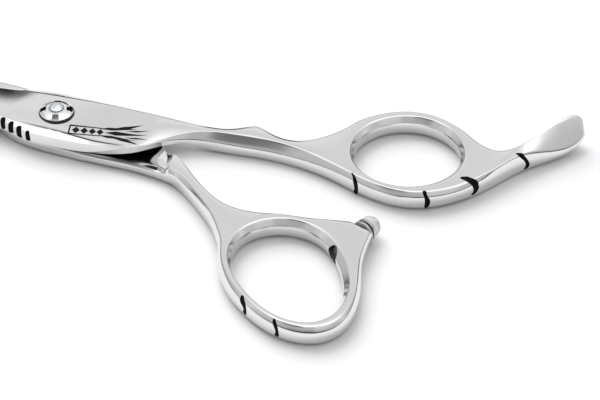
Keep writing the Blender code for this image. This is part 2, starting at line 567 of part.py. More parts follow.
# ------------------------------------------------------------------ assembly
def build():
    for ob in list(bpy.data.objects):
        bpy.data.objects.remove(ob, do_unlink=True)

    steel = material("mirror_steel", (0.80, 0.80, 0.81), 0.10, 1.0)
    steel_dark = material("screw_steel", (0.55, 0.56, 0.58), 0.20, 1.0)
    bright = material("bright_plate", (0.86, 0.86, 0.87), 0.06, 1.0)
    brass = material("bush_bronze", (0.70, 0.52, 0.27), 0.30, 1.0)
    ptfe = material("glide_plastic", (0.86, 0.86, 0.84), 0.45)
    enamel = material("black_enamel", (0.012, 0.012, 0.013), 0.40)
    silicone = material("clear_silicone", (0.90, 0.91, 0.92), 0.12, 0.0, 0.85)
    crystal = material("clear_crystal", (0.92, 0.95, 1.0), 0.02, 0.0, 0.9)

    finger = bpy.data.objects.new("finger_half", None)
    thumb = bpy.data.objects.new("thumb_half", None)
    for e in (finger, thumb):
        bpy.context.scene.collection.objects.link(e)

    fc = finger_cage().mesh("finger_form", 1)
    tc = thumb_cage().mesh("thumb_form", 1)
    as_cutter(fc)
    as_cutter(tc)

    def from_form(name, form, mat, parent):
        ob = bpy.data.objects.new(name, form.data.copy())
        bpy.context.scene.collection.objects.link(ob)
        ob.data.materials.append(mat)
        m = ob.modifiers.new("Subdivision", 'SUBSURF')
        m.levels = m.render_levels = 1
        m.use_limit_surface = False
        ob.parent = parent
        return ob

    finger_blade = from_form("finger_blade", fc, steel, finger)
    finger_handle = from_form("finger_handle", fc, steel, finger)
    thumb_blade = from_form("thumb_blade", tc, steel, thumb)
    thumb_handle = from_form("thumb_handle", tc, steel, thumb)

    # weld lines: the forged blade and the cast handle meet across the shank
    g = WELD_GAP / 2
    box_f = prism("weld_side_f", [(SPLIT_X + g, -40), (90, -40), (90, 60), (SPLIT_X + g, 60)], -5, 15)
    box_h = prism("weld_side_h", [(-130, -60), (SPLIT_X - g, -60), (SPLIT_X - g, 60), (-130, 60)], -5, 15)
    cut(finger_blade, box_f, 'INTERSECT')
    cut(finger_handle, box_h, 'INTERSECT')
    wn = Vector((-0.78, 0.63)).normalized()
    wc = Vector((-34.2, 12.6))
    wt = Vector((-wn.y, wn.x))
    def side(s):
        o = wc + wn * s * g
        pts = [o + wt * 80, o - wt * 80, o - wt * 80 + wn * s * 130, o + wt * 80 + wn * s * 130]
        return [(p.x, p.y) for p in (pts if s > 0 else list(reversed(pts)))]
    box_tb = prism("weld_side_tb", side(-1), -5, 15)
    box_th = prism("weld_side_th", side(1), -5, 15)
    cut(thumb_blade, box_tb, 'INTERSECT')
    cut(thumb_handle, box_th, 'INTERSECT')

    # ------------------------------------------------------------- the pivot
    seg = 32
    bore = lathe("bore_tool", [(0, 1.0), (BORE_R, 1.0), (BORE_R, 9.0), (0, 9.0)], None, seg=seg)
    seat = lathe("seat_tool", [(0, PIVOT_SEAT_Z), (SEAT_R, PIVOT_SEAT_Z), (SEAT_R, 9.0), (0, 9.0)], None, seg=seg)
    pocket = lathe("pocket_tool", [(0, 1.0), (4.4, 1.0), (4.4, Z_UP_BOT + 0.28), (0, Z_UP_BOT + 0.28)], None, seg=seg)
    cut(finger_blade, bore)
    cut(finger_blade, seat)
    cut(finger_blade, pocket)
    low_bore = lathe("low_bore_tool", [(0, -1.0), (2.10, -1.0), (2.10, 3.0), (0, 3.0)], None, seg=seg)
    low_seat = lathe("low_seat_tool", [(0, -1.0), (NUT_R + 0.1, -1.0), (NUT_R + 0.1, 0.95), (0, 0.95)], None, seg=seg)
    cut(thumb_blade, low_bore)
    cut(thumb_blade, low_seat)

    # shouldered screw: thread end in the nut, shoulder in the bush
    lathe("pivot_screw", [(0, 0.0), (1.22, 0.0), (1.28, 0.06), (1.28, 0.94), (SCREW_R, 0.94),
                          (SCREW_R, 5.02), (1.20, 5.02), (1.20, 5.60), (0, 5.60)],
          steel_dark, seg=33, parent=thumb)
    lathe("pivot_lock_nut", [(1.34, 0.05), (NUT_R - 0.25, 0.05), (NUT_R, 0.25), (NUT_R, 0.88), (1.34, 0.88)],
          steel_dark, seg=seg, parent=thumb)
    lathe("pivot_bush", [(BUSH_IN, Z_UP_BOT + 0.30), (BUSH_OUT, Z_UP_BOT + 0.30),
                         (BUSH_OUT, 4.66), (BUSH_IN, 4.66)], brass, seg=seg, parent=finger)
    lathe("glide_washer", [(2.62, Z_LOW_TOP + 0.03), (4.30, Z_LOW_TOP + 0.03),
                           (4.30, Z_UP_BOT + 0.25), (2.62, Z_UP_BOT + 0.25)],
          ptfe, seg=seg, parent=thumb)
    # spring washer with three waves
    bm = bmesh.new()
    prof = [(2.15, 0.0), (3.30, 0.0), (3.30, 0.12), (2.15, 0.12)]
    rings = []
    for k in range(36):
        a = 2 * pi * k / 36
        w = 0.035 * cos(3 * a)
        rings.append([bm.verts.new((r * MM * cos(a), r * MM * sin(a), (4.80 + h + w) * MM)) for r, h in prof])
    for k in range(36):
        A, B = rings[k], rings[(k + 1) % 36]
        for q in range(4):
            bm.faces.new([A[q], A[(q + 1) % 4], B[(q + 1) % 4], B[q]])
    add_object("wave_washer", bm, steel_dark, thumb)
    # notched click plate
    bm = bmesh.new()
    n = 48
    lo, hi, li, hi2 = [], [], [], []
    for k in range(n):
        a = 2 * pi * k / n
        r = 3.32 - (0.16 if k % 4 == 0 else 0.0)
        for lst, rr, z in ((lo, r, 4.99), (hi, r, 5.19), (li, 2.15, 4.99), (hi2, 2.15, 5.19)):
            lst.append(bm.verts.new((rr * MM * cos(a), rr * MM * sin(a), z * MM)))
    for k in range(n):
        q = (k + 1) % n
        bm.faces.new([lo[k], lo[q], hi[q], hi[k]])
        bm.faces.new([hi[k], hi[q], hi2[q], hi2[k]])
        bm.faces.new([hi2[k], hi2[q], li[q], li[k]])
        bm.faces.new([li[k], li[q], lo[q], lo[k]])
    add_object("click_plate", bm, steel_dark, thumb)

    # tension dial: domed head with four finger notches
    dial_axis = bpy.data.objects.new("dial_axis", None)
    bpy.context.scene.collection.objects.link(dial_axis)
    dial_axis.parent = thumb
    dial = lathe("tension_dial", [(1.30, 5.24), (DIAL_R - 0.12, 5.24), (DIAL_R, 5.34), (DIAL_R, 5.48),
                                  (DIAL_R - 0.22, 5.68), (2.75, 5.90), (2.15, 6.06), (1.62, 6.14),
                                  (1.62, 5.72), (1.30, 5.72)],
                 bright, seg=48, parent=dial_axis)
    for k in range(4):
        a = radians(17.5 + 90 * k)
        c, s = cos(a), sin(a)
        pts = [(2.15, -0.50), (4.2, -0.85), (4.2, 0.85), (2.15, 0.50)]
        tool = prism("notch_tool_%d" % (k + 1),
                     [(x * c - y * s, x * s + y * c) for x, y in pts], 5.50, 7.0)
        cut(dial, tool)
    lathe("crystal_bezel", [(1.38, 5.95), (1.56, 5.95), (1.56, 6.40), (1.50, 6.46), (1.42, 6.40), (1.38, 6.30)],
          bright, seg=32, parent=dial_axis)
    lathe("pivot_crystal", [(0, 5.78), (0.45, 5.95), (CRYSTAL_R - 0.06, 6.34), (CRYSTAL_R - 0.03, 6.44),
                            (0.85, 6.72), (0, 6.76)],
          crystal, seg=16, parent=dial_axis, sharp=10)

    # ------------------------------------------------------------- the bumper
    bumper_axis = bpy.data.objects.new("bumper_axis", None)
    bpy.context.scene.collection.objects.link(bumper_axis)
    bumper_axis.location = (BUMP_BASE[0] * MM, BUMP_BASE[1] * MM, BUMP_Z * MM)
    bumper_axis.parent = thumb
    bpy.context.view_layer.update()
    ax = (cos(radians(BUMP_DIR)), sin(radians(BUMP_DIR)), 0.0)
    C = (BUMP_BASE[0], BUMP_BASE[1], BUMP_Z)
    hole = lathe("stud_hole_tool", [(0, -10.5), (1.50, -10.5), (1.50, -4.2), (0.95, -3.6), (0.95, 3), (0, 3)],
                 None, centre=C, axis=ax, seg=20)
    cut(thumb_handle, hole)
    flat = lathe("boss_face_tool", [(0, 0.02), (6, 0.02), (6, 8), (0, 8)], None, centre=C, axis=ax, seg=16)
    cut(thumb_handle, flat)
    lathe("bumper_stud", [(0, -3.2), (0.80, -3.2), (0.85, -3.1), (0.85, 1.75), (0, 1.75)], steel_dark,
          centre=C, axis=ax, seg=20, parent=bumper_axis)
    lathe("bumper_ferrule", [(0.92, 0.08), (BUMP_R - 0.12, 0.08), (BUMP_R, 0.2), (BUMP_R, 0.62), (BUMP_R - 0.22, 0.76),
                             (BUMP_R - 0.22, 0.98), (BUMP_R - 0.05, 1.12), (BUMP_R - 0.05, 1.62), (BUMP_R - 0.3, 1.80),
                             (0.92, 1.80)],
          bright, centre=C, axis=ax, seg=32, parent=bumper_axis)
    lathe("bumper_pad", [(0, 1.88), (1.80, 1.88), (2.00, 2.05), (2.05, 2.60), (1.95, 3.20), (1.62, 3.75), (1.10, 4.10),
                         (0.55, 4.26), (0, 4.30)],
          silicone, centre=C, axis=ax, seg=24, parent=bumper_axis)

    # --------------------------------------------- grooves and their enamel
    # foot point, top point, half width, inward direction, depth
    gf = [("finger_groove_enamel_1", (-63.35, 1.75), (-62.1, 0.4), 0.33, (-0.50, -0.87), 0.95),
          ("finger_groove_enamel_2", (-77.3, 1.95), (-76.5, 1.3), 0.42, (0.42, -0.91), 0.95),
          ("finger_groove_enamel_3", (-84.6, -4.35), (-84.2, -4.5), 0.95, (0.84, -0.54), 1.9),
          ("finger_groove_enamel_4", (-93.0, -15.2), (-92.5, -15.2), 0.75, (0.72, -0.69), 1.6)]
    gt = [("thumb_groove_enamel_1", (-53.8, 42.15), (-53.0, 40.9), 0.42, (-0.42, -0.91), 0.95),
          ("thumb_groove_enamel_2", (-61.1, 45.95), (-60.5, 45.0), 0.42, (-0.10, -0.99), 0.95)]
    tops = {"finger_groove_enamel_4": 6.2, "finger_groove_enamel_3": 5.4}
    for group, form, host, parent in ((gf, fc, finger_handle, finger), (gt, tc, thumb_handle, thumb)):
        for name, a, b, half, inward, depth in group:
            z1 = tops.get(name, 5.0)
            tool = wedge(name.replace("enamel", "tool"), a, b, half, inward, depth, -0.3, z1, grow=0.05)
            cut(host, tool)
            fill = wedge(name, a, b, half, inward, depth, -0.3, z1, mat=enamel)
            cut(fill, form, 'INTERSECT')
            fill.parent = parent
    # notches on the spine of the finger blade
    for k in range(4):
        x = 3.15 + 2.15 * k
        ytop = (7.35, 6.45, 5.95, 5.35)[k]
        n = Vector((-0.30, -0.95)).normalized() if k < 3 else Vector((-0.2, -0.98)).normalized()
        name = "spine_notch_enamel_%d" % (k + 1)
        tool = wedge(name.replace("enamel", "tool"), (x, ytop), (x + 0.05, ytop), 0.42, tuple(n), 0.86, 2.46, 6.2, grow=0.05)
        cut(finger_blade, tool)
        fill = wedge(name, (x, ytop), (x + 0.05, ytop), 0.42, tuple(n), 0.86, 2.46, 6.2, mat=enamel)
        cut(fill, fc, 'INTERSECT')
        fill.parent = finger


build()
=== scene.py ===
"""Looks of the hair cutting shears: fine surfaces, finishes, floor, light and camera.

Metres, +Z up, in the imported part's own frame. Each half is one continuous
polished form drawn over its blade and handle nodes; the round pieces, grip
inlays, bumper and stone are drawn again finely, and the small hidden pieces
of the pivot keep their own shapes with a finish.
"""

import json
import bpy
import bmesh
from math import sin, cos, pi, radians, sqrt, atan2, hypot
from mathutils import Vector, Matrix
from mathutils.bvhtree import BVHTree
from mathutils.geometry import delaunay_2d_cdt
from mathutils.interpolate import poly_3d_calc

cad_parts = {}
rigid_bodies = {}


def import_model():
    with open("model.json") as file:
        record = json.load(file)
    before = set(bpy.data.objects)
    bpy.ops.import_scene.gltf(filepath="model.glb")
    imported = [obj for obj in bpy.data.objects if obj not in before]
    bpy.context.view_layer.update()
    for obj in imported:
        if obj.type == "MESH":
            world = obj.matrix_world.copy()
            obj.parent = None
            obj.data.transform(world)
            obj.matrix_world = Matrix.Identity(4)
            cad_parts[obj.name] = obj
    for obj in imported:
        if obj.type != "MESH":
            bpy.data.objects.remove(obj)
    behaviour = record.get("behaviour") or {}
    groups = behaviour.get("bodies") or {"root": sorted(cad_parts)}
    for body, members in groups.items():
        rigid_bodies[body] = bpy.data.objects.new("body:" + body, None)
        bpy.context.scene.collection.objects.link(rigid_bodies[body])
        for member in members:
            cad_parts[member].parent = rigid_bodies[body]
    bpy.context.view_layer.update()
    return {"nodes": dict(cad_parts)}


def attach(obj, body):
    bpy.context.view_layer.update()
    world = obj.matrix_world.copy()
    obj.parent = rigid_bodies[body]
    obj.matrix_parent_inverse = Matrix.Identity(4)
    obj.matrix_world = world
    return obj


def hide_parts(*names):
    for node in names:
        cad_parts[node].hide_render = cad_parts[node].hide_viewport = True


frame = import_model()
FORM_LEVEL = 3

MM = 0.001

# ---------------------------------------------------------------- dimensions
REST_OPEN = 6.5          # degrees between the blades as they lie
BLADE_LEN = 63.0         # pivot to point
Z_FLOOR = 0.0            # undersides that rest on the table
Z_LOW_TOP = 2.30         # ride plane of the thumb half
Z_UP_BOT = 2.40          # ride plane of the finger half
Z_HANDLE = 4.30          # top of the shanks and rings
PIVOT_SEAT_Z = 4.72      # seat for the spring stack in the finger blade
DIAL_R = 3.42            # radius of the round screw head
SEAT_R = 3.62            # recess around the round head
BORE_R = 2.60            # bore for the bush in the finger blade
BUSH_OUT = 2.55
BUSH_IN = 2.03
SCREW_R = 1.98           # bearing shoulder of the pivot screw
NUT_R = 3.60
CRYSTAL_R = 1.36
RING_M = 20              # stations around each ring
FINGER_C = (-70.15, -9.97)
FINGER_A0 = -27.5
FINGER_LIP = 11.37
THUMB_C = (-58.5, 31.0)
THUMB_A0 = 0.0
INNER_CHAMFER = 0.90
BUMP_BASE = (-68.1, 14.9)
BUMP_DIR = -112.5
BUMP_Z = 2.40
BUMP_R = 2.30
SPLIT_X = -33.2          # weld line of the finger half
WELD_GAP = 0.10


# ------------------------------------------------------------------ helpers
def lerp(a, b, t):
    return a + (b - a) * t


def periodic(stations, angle):
    """Smooth radius at an angle, from a closed list of (degrees, radius)."""
    st = sorted(stations)
    n = len(st)
    a = angle % 360.0
    i = n - 1
    for k in range(n):
        if st[k][0] <= a:
            i = k
    if a < st[0][0]:
        i = n - 1
    p = [st[(i + d) % n] for d in (-1, 0, 1, 2)]
    a1, a2 = p[1][0], p[2][0]
    span = (a2 - a1) % 360.0
    u = ((a - a1) % 360.0) / span
    h0 = (p[2][1] - p[0][1]) / (((a2 - p[0][0]) % 360.0) / span)
    h1 = (p[3][1] - p[1][1]) / (((p[3][0] - a1) % 360.0) / span)
    u2, u3 = u * u, u * u * u
    return ((2 * u3 - 3 * u2 + 1) * p[1][1] + (u3 - 2 * u2 + u) * h0
            + (3 * u2 - 2 * u3) * p[2][1] + (u3 - u2) * h1)


def polar(c, deg, r):
    a = radians(deg)
    return (c[0] + r * cos(a), c[1] + r * sin(a))


def turn(p, deg):
    a = radians(deg)
    return (p[0] * cos(a) - p[1] * sin(a), p[0] * sin(a) + p[1] * cos(a))


def material(name, rgb, rough, metal=0.0, trans=0.0):
    m = bpy.data.materials.new(name)
    m.use_nodes = True
    b = m.node_tree.nodes["Principled BSDF"]
    b.inputs["Base Color"].default_value = (rgb[0], rgb[1], rgb[2], 1)
    b.inputs["Roughness"].default_value = rough
    b.inputs["Metallic"].default_value = metal
    b.inputs["Transmission Weight"].default_value = trans
    m.diffuse_color = (rgb[0], rgb[1], rgb[2], 1)
    return m


def add_object(name, bm, mat, parent=None, smooth=True, sharp=40.0):
    bmesh.ops.recalc_face_normals(bm, faces=bm.faces[:])
    me = bpy.data.meshes.new(name)
    bm.to_mesh(me)
    bm.free()
    if mat is not None:
        me.materials.append(mat)
    if smooth:
        me.shade_smooth()
        me.set_sharp_from_angle(angle=radians(sharp))
    ob = bpy.data.objects.new(name, me)
    bpy.context.scene.collection.objects.link(ob)
    if parent is not None:
        ob.parent = parent
        ob.matrix_parent_inverse = parent.matrix_world.inverted()
    return ob


def as_cutter(ob):
    ob.hide_render = True
    ob.display_type = 'WIRE'
    ob.hide_set(True)
    return ob


def cut(ob, cutter, op='DIFFERENCE'):
    as_cutter(cutter)
    m = ob.modifiers.new(op.title() + "_" + cutter.name, 'BOOLEAN')
    m.operation = op
    m.solver = 'EXACT'
    m.object = cutter
    return m


# ---------------------------------------------------- subdivision cage class
class Cage:
    """Quad cage of one half: a strip of sections that flows into a ring."""

    def __init__(self):
        self.v = {}
        self.co = []
        self.f = []
        self.cr = {}

    def point(self, key, co):
        self.v[key] = len(self.co)
        self.co.append((co[0] * MM, co[1] * MM, co[2] * MM))

    def face(self, keys):
        self.f.append([self.v[k] for k in keys])

    def crease(self, k1, k2, w):
        a, b = self.v[k1], self.v[k2]
        key = (min(a, b), max(a, b))
        self.cr[key] = max(w, self.cr.get(key, 0.0))

    def mesh(self, name, level):
        bm = bmesh.new()
        vs = [bm.verts.new(c) for c in self.co]
        for f in self.f:
            bm.faces.new([vs[i] for i in f])
        lay = bm.edges.layers.float.new('crease_edge')
        bm.edges.ensure_lookup_table()
        for e in bm.edges:
            k = (min(e.verts[0].index, e.verts[1].index),
                 max(e.verts[0].index, e.verts[1].index))
            a, b = vs.index(e.verts[0]), vs.index(e.verts[1])
            e[lay] = self.cr.get((min(a, b), max(a, b)), 0.0)
        bmesh.ops.recalc_face_normals(bm, faces=bm.faces[:])
        me = bpy.data.meshes.new(name)
        bm.to_mesh(me)
        bm.free()
        ob = bpy.data.objects.new(name, me)
        bpy.context.scene.collection.objects.link(ob)
        m = ob.modifiers.new("Subdivision", 'SUBSURF')
        m.levels = level
        m.render_levels = level
        m.use_limit_surface = False
        return ob


def ring_band(cage, c, a0, lip, out, spec, strips, zt, zm, zb):
    """Closed loop of six-point sections. strips lists (first, columns) of the
    stations where a strip joins, which carry no outer wall of their own."""
    m = RING_M
    k_shrink = 1.0 + (1.0 - cos(2 * pi / m)) / 3.0
    for k in range(m):
        a = a0 + 360.0 / m * k
        s = spec(k, a)
        rl, ro = lip(a) * k_shrink, out(a) * k_shrink
        top = s.get('zt', zt)
        mid = s.get('zm', zm)
        bo = s.get('bo', 0.85)
        ci = s.get('ci', INNER_CHAMFER)
        om = s.get('om') or polar(c, a, ro)
        d = hypot(om[0] - c[0], om[1] - c[1])
        ux, uy = (om[0] - c[0]) / d, (om[1] - c[1]) / d
        cage.point(('it', k), polar(c, a, rl) + (top,))
        cage.point(('im', k), polar(c, a, rl - ci) + (s.get('zmi', top - 1.15),))
        cage.point(('in', k), polar(c, a, rl - ci - 0.13) + (s.get('zmi', top - 1.15) - 0.36,))
        cage.point(('ib', k), polar(c, a, rl - ci + 0.10) + (zb,))
        cage.point(('ob', k), (om[0] - ux * 0.30, om[1] - uy * 0.30, zb))
        cage.point(('om', k), om + (mid,))
        cage.point(('ot', k), (om[0] - ux * bo, om[1] - uy * bo, top))
    joined = set()
    for first, cols in strips:
        for q in range(cols):
            joined.add((first + q) % m)
    for k in range(m):
        n = (k + 1) % m
        cage.face([('it', k), ('ot', k), ('ot', n), ('it', n)])
        cage.face([('ob', k), ('ib', k), ('ib', n), ('ob', n)])
        cage.face([('ib', k), ('in', k), ('in', n), ('ib', n)])
        cage.face([('in', k), ('im', k), ('im', n), ('in', n)])
        cage.face([('im', k), ('it', k), ('it', n), ('im', n)])
        cage.crease(('it', k), ('it', n), 0.42)
        cage.crease(('im', k), ('im', n), 0.65)
        cage.crease(('in', k), ('in', n), 0.65)
        cage.crease(('ib', k), ('ib', n), 0.25)
        if k not in joined:
            cage.face([('ot', k), ('om', k), ('om', n), ('ot', n)])
            cage.face([('om', k), ('ob', k), ('ob', n), ('om', n)])
            s = spec(k, a0 + 360.0 / m * k)
            cage.crease(('ot', k), ('ot', n), s.get('cro', 0.40))
            cage.crease(('om', k), ('om', n), s.get('crm', 0.36))
            cage.crease(('ob', k), ('ob', n), 0.25)


def strip_band(cage, tag, rows, nc, first, cap):
    """Rows of sections from the free end to ring stations first..first+nc.

    A row holds: F and N outline points, the widths of the two side slopes,
    five heights (F side, F ridge, middle, N ridge, N side), the underside
    height, the underside inset, creases (ridge F, ridge N, side, underside)
    and the shape exponent of the section (0 for a flat top)."""
    n = nc + 2
    for i, r in enumerate(rows):
        F, N = Vector(r['F']), Vector(r['N'])
        d = (N - F)
        w = d.length
        d = d / w
        zF0, zF1, zM, zN1, zN0 = r['z']
        p1, pn = F + d * min(r['bF'], 0.45 * w), N - d * min(r['bN'], 0.45 * w)
        cage.point((tag, 't', i, 0), (F.x, F.y, zF0))
        cage.point((tag, 't', i, n), (N.x, N.y, zN0))
        for j in range(1, n):
            u = (j - 1) / (n - 2)
            if r.get('lip') and j == n - 2:
                u = lerp(u, 1.0, 0.5)
            p = p1.lerp(pn, u)
            if r.get('convex'):
                z = lerp(zF1, zN1, 1 - (1 - u) ** r['convex'])
            else:
                z = lerp(zF1, zN1, u) + (zM - 0.5 * (zF1 + zN1)) * sin(pi * u)
            if r.get('lip') and j > 1:
                z = min(1.0, (j - 1) / (n - 4.0))
                z = lerp(zF1, zN1 - r['lip'], z) if j < n - 1 else zN1
            cage.point((tag, 't', i, j), (p.x, p.y, z))
        ins = r.get('ins', 0.30)
        b1, bn = F + d * min(ins, 0.3 * w), N - d * min(ins, 0.3 * w)
        for j in range(1, n):
            u = (j - 1) / (n - 2)
            p = b1.lerp(bn, u)
            cage.point((tag, 'b', i, j), (p.x, p.y, r['zb']))
    def loop(i):
        if i < len(rows):
            return ([(tag, 't', i, j) for j in range(0, n + 1)]
                    + [(tag, 'b', i, j) for j in range(n - 1, 0, -1)])
        k = [(first + j) % RING_M for j in range(nc + 1)]
        return ([('om', k[0])] + [('ot', q) for q in k] + [('om', k[-1])]
                + [('ob', q) for q in reversed(k)])
    R = len(rows)
    for i in range(R):
        A, B = loop(i), loop(i + 1)
        L = len(A)
        for q in range(L):
            cage.face([A[q], A[(q + 1) % L], B[(q + 1) % L], B[q]])
        r = rows[i]
        cF, cN, cS, cB = r['cr']
        cage.crease(A[1], B[1], cF)
        cage.crease(A[n - 1], B[n - 1], cN)
        cage.crease(A[0], B[0], r.get('crF', cS))
        cage.crease(A[n], B[n], cS)
        cage.crease(A[n + 1], B[n + 1], cB)
        cage.crease(A[-1], B[-1], cB)
        if r.get('line'):
            for q in range(1, n - 1):
                cage.crease(A[q], A[q + 1], r['line'])
        if r.get('under'):
            for q in range(n + 1, L - 1):
                cage.crease(A[q], A[q + 1], r['under'])
    A = loop(0)
    if cap == 'point':
        cage.face(list(reversed(A)))
        for q in range(len(A)):
            cage.crease(A[q], A[(q + 1) % len(A)], 1.0)
    else:
        t = [(tag, 't', 0, j) for j in range(n + 1)]
        b = [None] + [(tag, 'b', 0, j) for j in range(1, n)]
        cage.face([b[1], t[1], t[0]])
        for j in range(1, n - 1):
            cage.face([b[j], b[j + 1], t[j + 1], t[j]])
        cage.face([b[n - 1], t[n], t[n - 1]])


def row(F, N, bF, bN, z, zb, cr=(0.35, 0.40, 0.36, 0.25), **kw):
    d = dict(F=F, N=N, bF=bF, bN=bN, z=z, zb=zb, cr=cr)
    d.update(kw)
    return d


# ------------------------------------------------------------- finger half
def blade_rows_finger():
    """Point to heel. F is the cutting edge, N is the spine."""
    rows = []
    table = [  # x, edge y, spine y, thickness at the spine, spine slope
        (62.9, -1.20, -0.75, 0.55, 0.15),
        (58.0, -2.25, 0.45, 1.15, 0.45),
        (50.0, -3.55, 1.50, 1.55, 0.55),
        (40.0, -4.95, 2.55, 1.90, 0.60),
        (30.0, -6.15, 3.50, 2.15, 0.60),
        (21.5, -7.05, 4.25, 2.35, 0.60),
        (15.8, -7.60, 4.75, 2.45, 0.60),
        (12.8, -7.95, 5.00, 2.50, 0.60),
    ]
    for x, ye, ys, th, bn in table:
        z = Z_UP_BOT
        rows.append(row((x, ye), (x, ys), 0.7, bn,
                        (z + 0.10, z + 0.28 * th, z + th, z + th, z + th - 0.45),
                        z, cr=(0.0, 0.45, 0.45, 1.0), convex=1.9, ins=0.0,
                        crF=1.0))
    return rows


def finger_rows():
    z = Z_UP_BOT
    rows = blade_rows_finger()
    ride = (0.40, 0.75, 0.80, 1.0)
    rows += [
        row((10.6, -8.20), (10.6, 5.15), 0.6, 0.6, (z + .12, z + .95, 4.85, 4.92, 4.45), z,
            cr=ride, ins=0.0, crF=1.0, convex=2.2),
        row((9.0, -7.95), (9.1, 5.60), 1.5, 0.8, (3.00, 3.95, 4.85, 5.00, 4.5), z, cr=ride, ins=0.0, crF=0.5),
        row((6.8, -7.65), (7.0, 6.25), 1.8, 1.0, (3.70, 4.45, 4.98, 5.10, 4.55), z, cr=ride, ins=0.0, crF=0.5, lip=0.12),
        row((3.6, -7.45), (3.6, 7.35), 1.9, 1.5, (4.0, 4.65, 5.0, 5.24, 4.60), z, cr=ride, ins=0.0, crF=0.5, lip=0.26),
        row((-0.5, -7.30), (-0.5, 7.65), 1.7, 1.6, (4.05, 4.7, 5.0, 5.24, 4.58), z, cr=ride, ins=0.0, crF=0.5, lip=0.32),
        row((-5.0, -7.20), (-5.0, 7.62), 1.4, 1.3, (4.1, 4.7, 4.9, 5.14, 4.52), z, cr=ride, ins=0.0, crF=0.5, lip=0.36),
        row((-10.0, -6.95), (-10.0, 7.45), 1.1, 0.65, (4.1, 4.65, 4.7, 4.86, 4.45), z, cr=ride, ins=0.0, crF=0.5, lip=0.38),
        row((-14.2, -6.70), (-13.8, 6.55), 1.0, 0.40, (4.1, 4.6, 4.5, 4.52, 4.18), z, cr=ride, ins=0.0, crF=0.5, lip=0.32),
        row((-18.0, -6.60), (-17.6, 5.25), 1.0, 0.35, (4.05, 4.5, 4.3, 4.08, 3.82), z, cr=ride, ins=0.0, crF=0.5, lip=0.16),
        row((-21.0, -6.50), (-20.2, 3.05), 1.0, 0.35, (4.0, 4.45, 4.5, 3.6, 3.45), z, cr=ride, ins=0.0),
        row((-23.8, -6.40), (-22.8, 0.75), 1.0, 0.5, (3.9, 4.4, 4.45, 3.85, 3.50), z,
            cr=(0.38, 0.5, 0.4, 0.6), ins=0.0),
        row((-27.0, -6.35), (-26.3, -1.35), 1.0, 0.9, (3.6, 4.35, 4.45, 4.3, 3.10), z - 0.1,
            cr=(0.38, 0.45, 0.4, 0.4), ins=0.05, under=0.5),
        row((-30.4, -6.45), (-30.2, -2.65), 1.0, 1.3, (3.2, 4.25, 4.42, 4.38, 2.80), 0.45,
            cr=(0.38, 0.45, 0.4, 0.3), ins=0.2, under=0.35),
        row((-34.2, -7.05), (-34.2, -2.80), 1.2, 1.7, (2.9, 4.2, 4.42, 4.38, 2.70), 0.12),
        row((-37.1, -9.15), (-37.1, -3.00), 1.7, 1.8, (2.8, 4.2, 4.41, 4.35, 2.60), Z_FLOOR),
        row((-39.0, -10.85), (-39.6, -3.20), 1.9, 1.8, (2.8, 4.25, 4.42, 4.33, 2.55), Z_FLOOR),
        row((-41.6, -9.35), (-42.2, -3.35), 1.6, 1.7, (2.8, 4.15, 4.36, 4.30, 2.48), Z_FLOOR),
        row((-44.3, -7.75), (-44.7, -3.35), 1.1, 1.6, (2.8, 4.12, 4.33, 4.28, 2.42), Z_FLOOR),
        row((-47.2, -7.25), (-47.2, -3.20), 1.0, 1.45, (2.8, 4.10, 4.30, 4.25, 2.40), Z_FLOOR),
        row((-50.8, -8.35), (-51.4, -2.55), 1.0, 1.3, (2.9, 4.10, 4.28, 4.25, 2.55), Z_FLOOR),
        row((-54.2, -11.6), (-55.6, -1.40), 1.0, 1.15, (3.0, 4.15, 4.28, 4.25, 2.80), Z_FLOOR),
        row((-56.6, -14.6), (-59.6, 0.15), 0.9, 1.0, (3.1, 4.20, 4.27, 4.27, 3.00), Z_FLOOR),
    ]
    return rows


def finger_out(a):
    return periodic([(332.5, 14.30), (350.5, 14.6), (8.5, 14.8), (26.5, 14.8),
                     (44.5, 14.0), (62.5, 13.25), (80.5, 13.05), (98.5, 13.45),
                     (116.5, 13.95), (134.5, 14.50), (152.5, 15.6), (170.5, 16.2),
                     (188.5, 15.9), (206.5, 14.75), (224.5, 13.85), (242.5, 13.45),
                     (260.5, 13.55), (278.5, 13.60), (296.5, 13.65), (314.5, 13.75)], a)


def tang_rows():
    """Free end first. F is the near side, N the far side."""
    c = (0.45, 0.40, 0.0, 0.25)
    return [
        row((-102.35, -27.2), (-101.3, -29.1), 0.30, 0.35, (2.9, 3.5, 4.8, 5.7, 5.2), 2.1,
            cr=(0.0, 0.0, 0.0, 0.0), ins=0.2),
        row((-101.7, -25.0), (-99.3, -28.9), 0.40, 0.45, (2.0, 2.8, 5.2, 7.1, 6.2), 1.1,
            cr=(0.15, 0.20, 0.0, 0.2), ins=0.35),
        row((-100.1, -22.3), (-97.4, -26.3), 0.45, 0.50, (1.8, 2.7, 5.1, 7.15, 6.2), 0.60, cr=c, ins=0.45),
        row((-97.8, -19.9), (-95.2, -23.4), 0.50, 0.60, (2.0, 3.1, 4.9, 6.5, 5.5), 0.45, cr=c, ins=0.4),
        row((-95.2, -17.6), (-93.1, -20.7), 0.60, 0.80, (2.5, 3.9, 4.9, 5.7, 4.6), 0.35, cr=c),
        row((-92.7, -15.3), (-91.0, -18.5), 0.70, 1.0, (2.9, 4.5, 4.85, 5.05, 3.9), 0.20, cr=c),
        row((-90.3, -11.9), (-88.9, -16.8), 0.8, 1.1, (3.1, 4.65, 4.7, 4.55, 3.4), 0.08,
            cr=(0.45, 0.40, 0.15, 0.25)),
        row((-88.0, -8.20), (-86.6, -15.75), 0.8, 1.1, (3.1, 4.42, 4.45, 4.4, 3.2), Z_FLOOR,
            cr=(0.42, 0.40, 0.28, 0.25)),
    ]


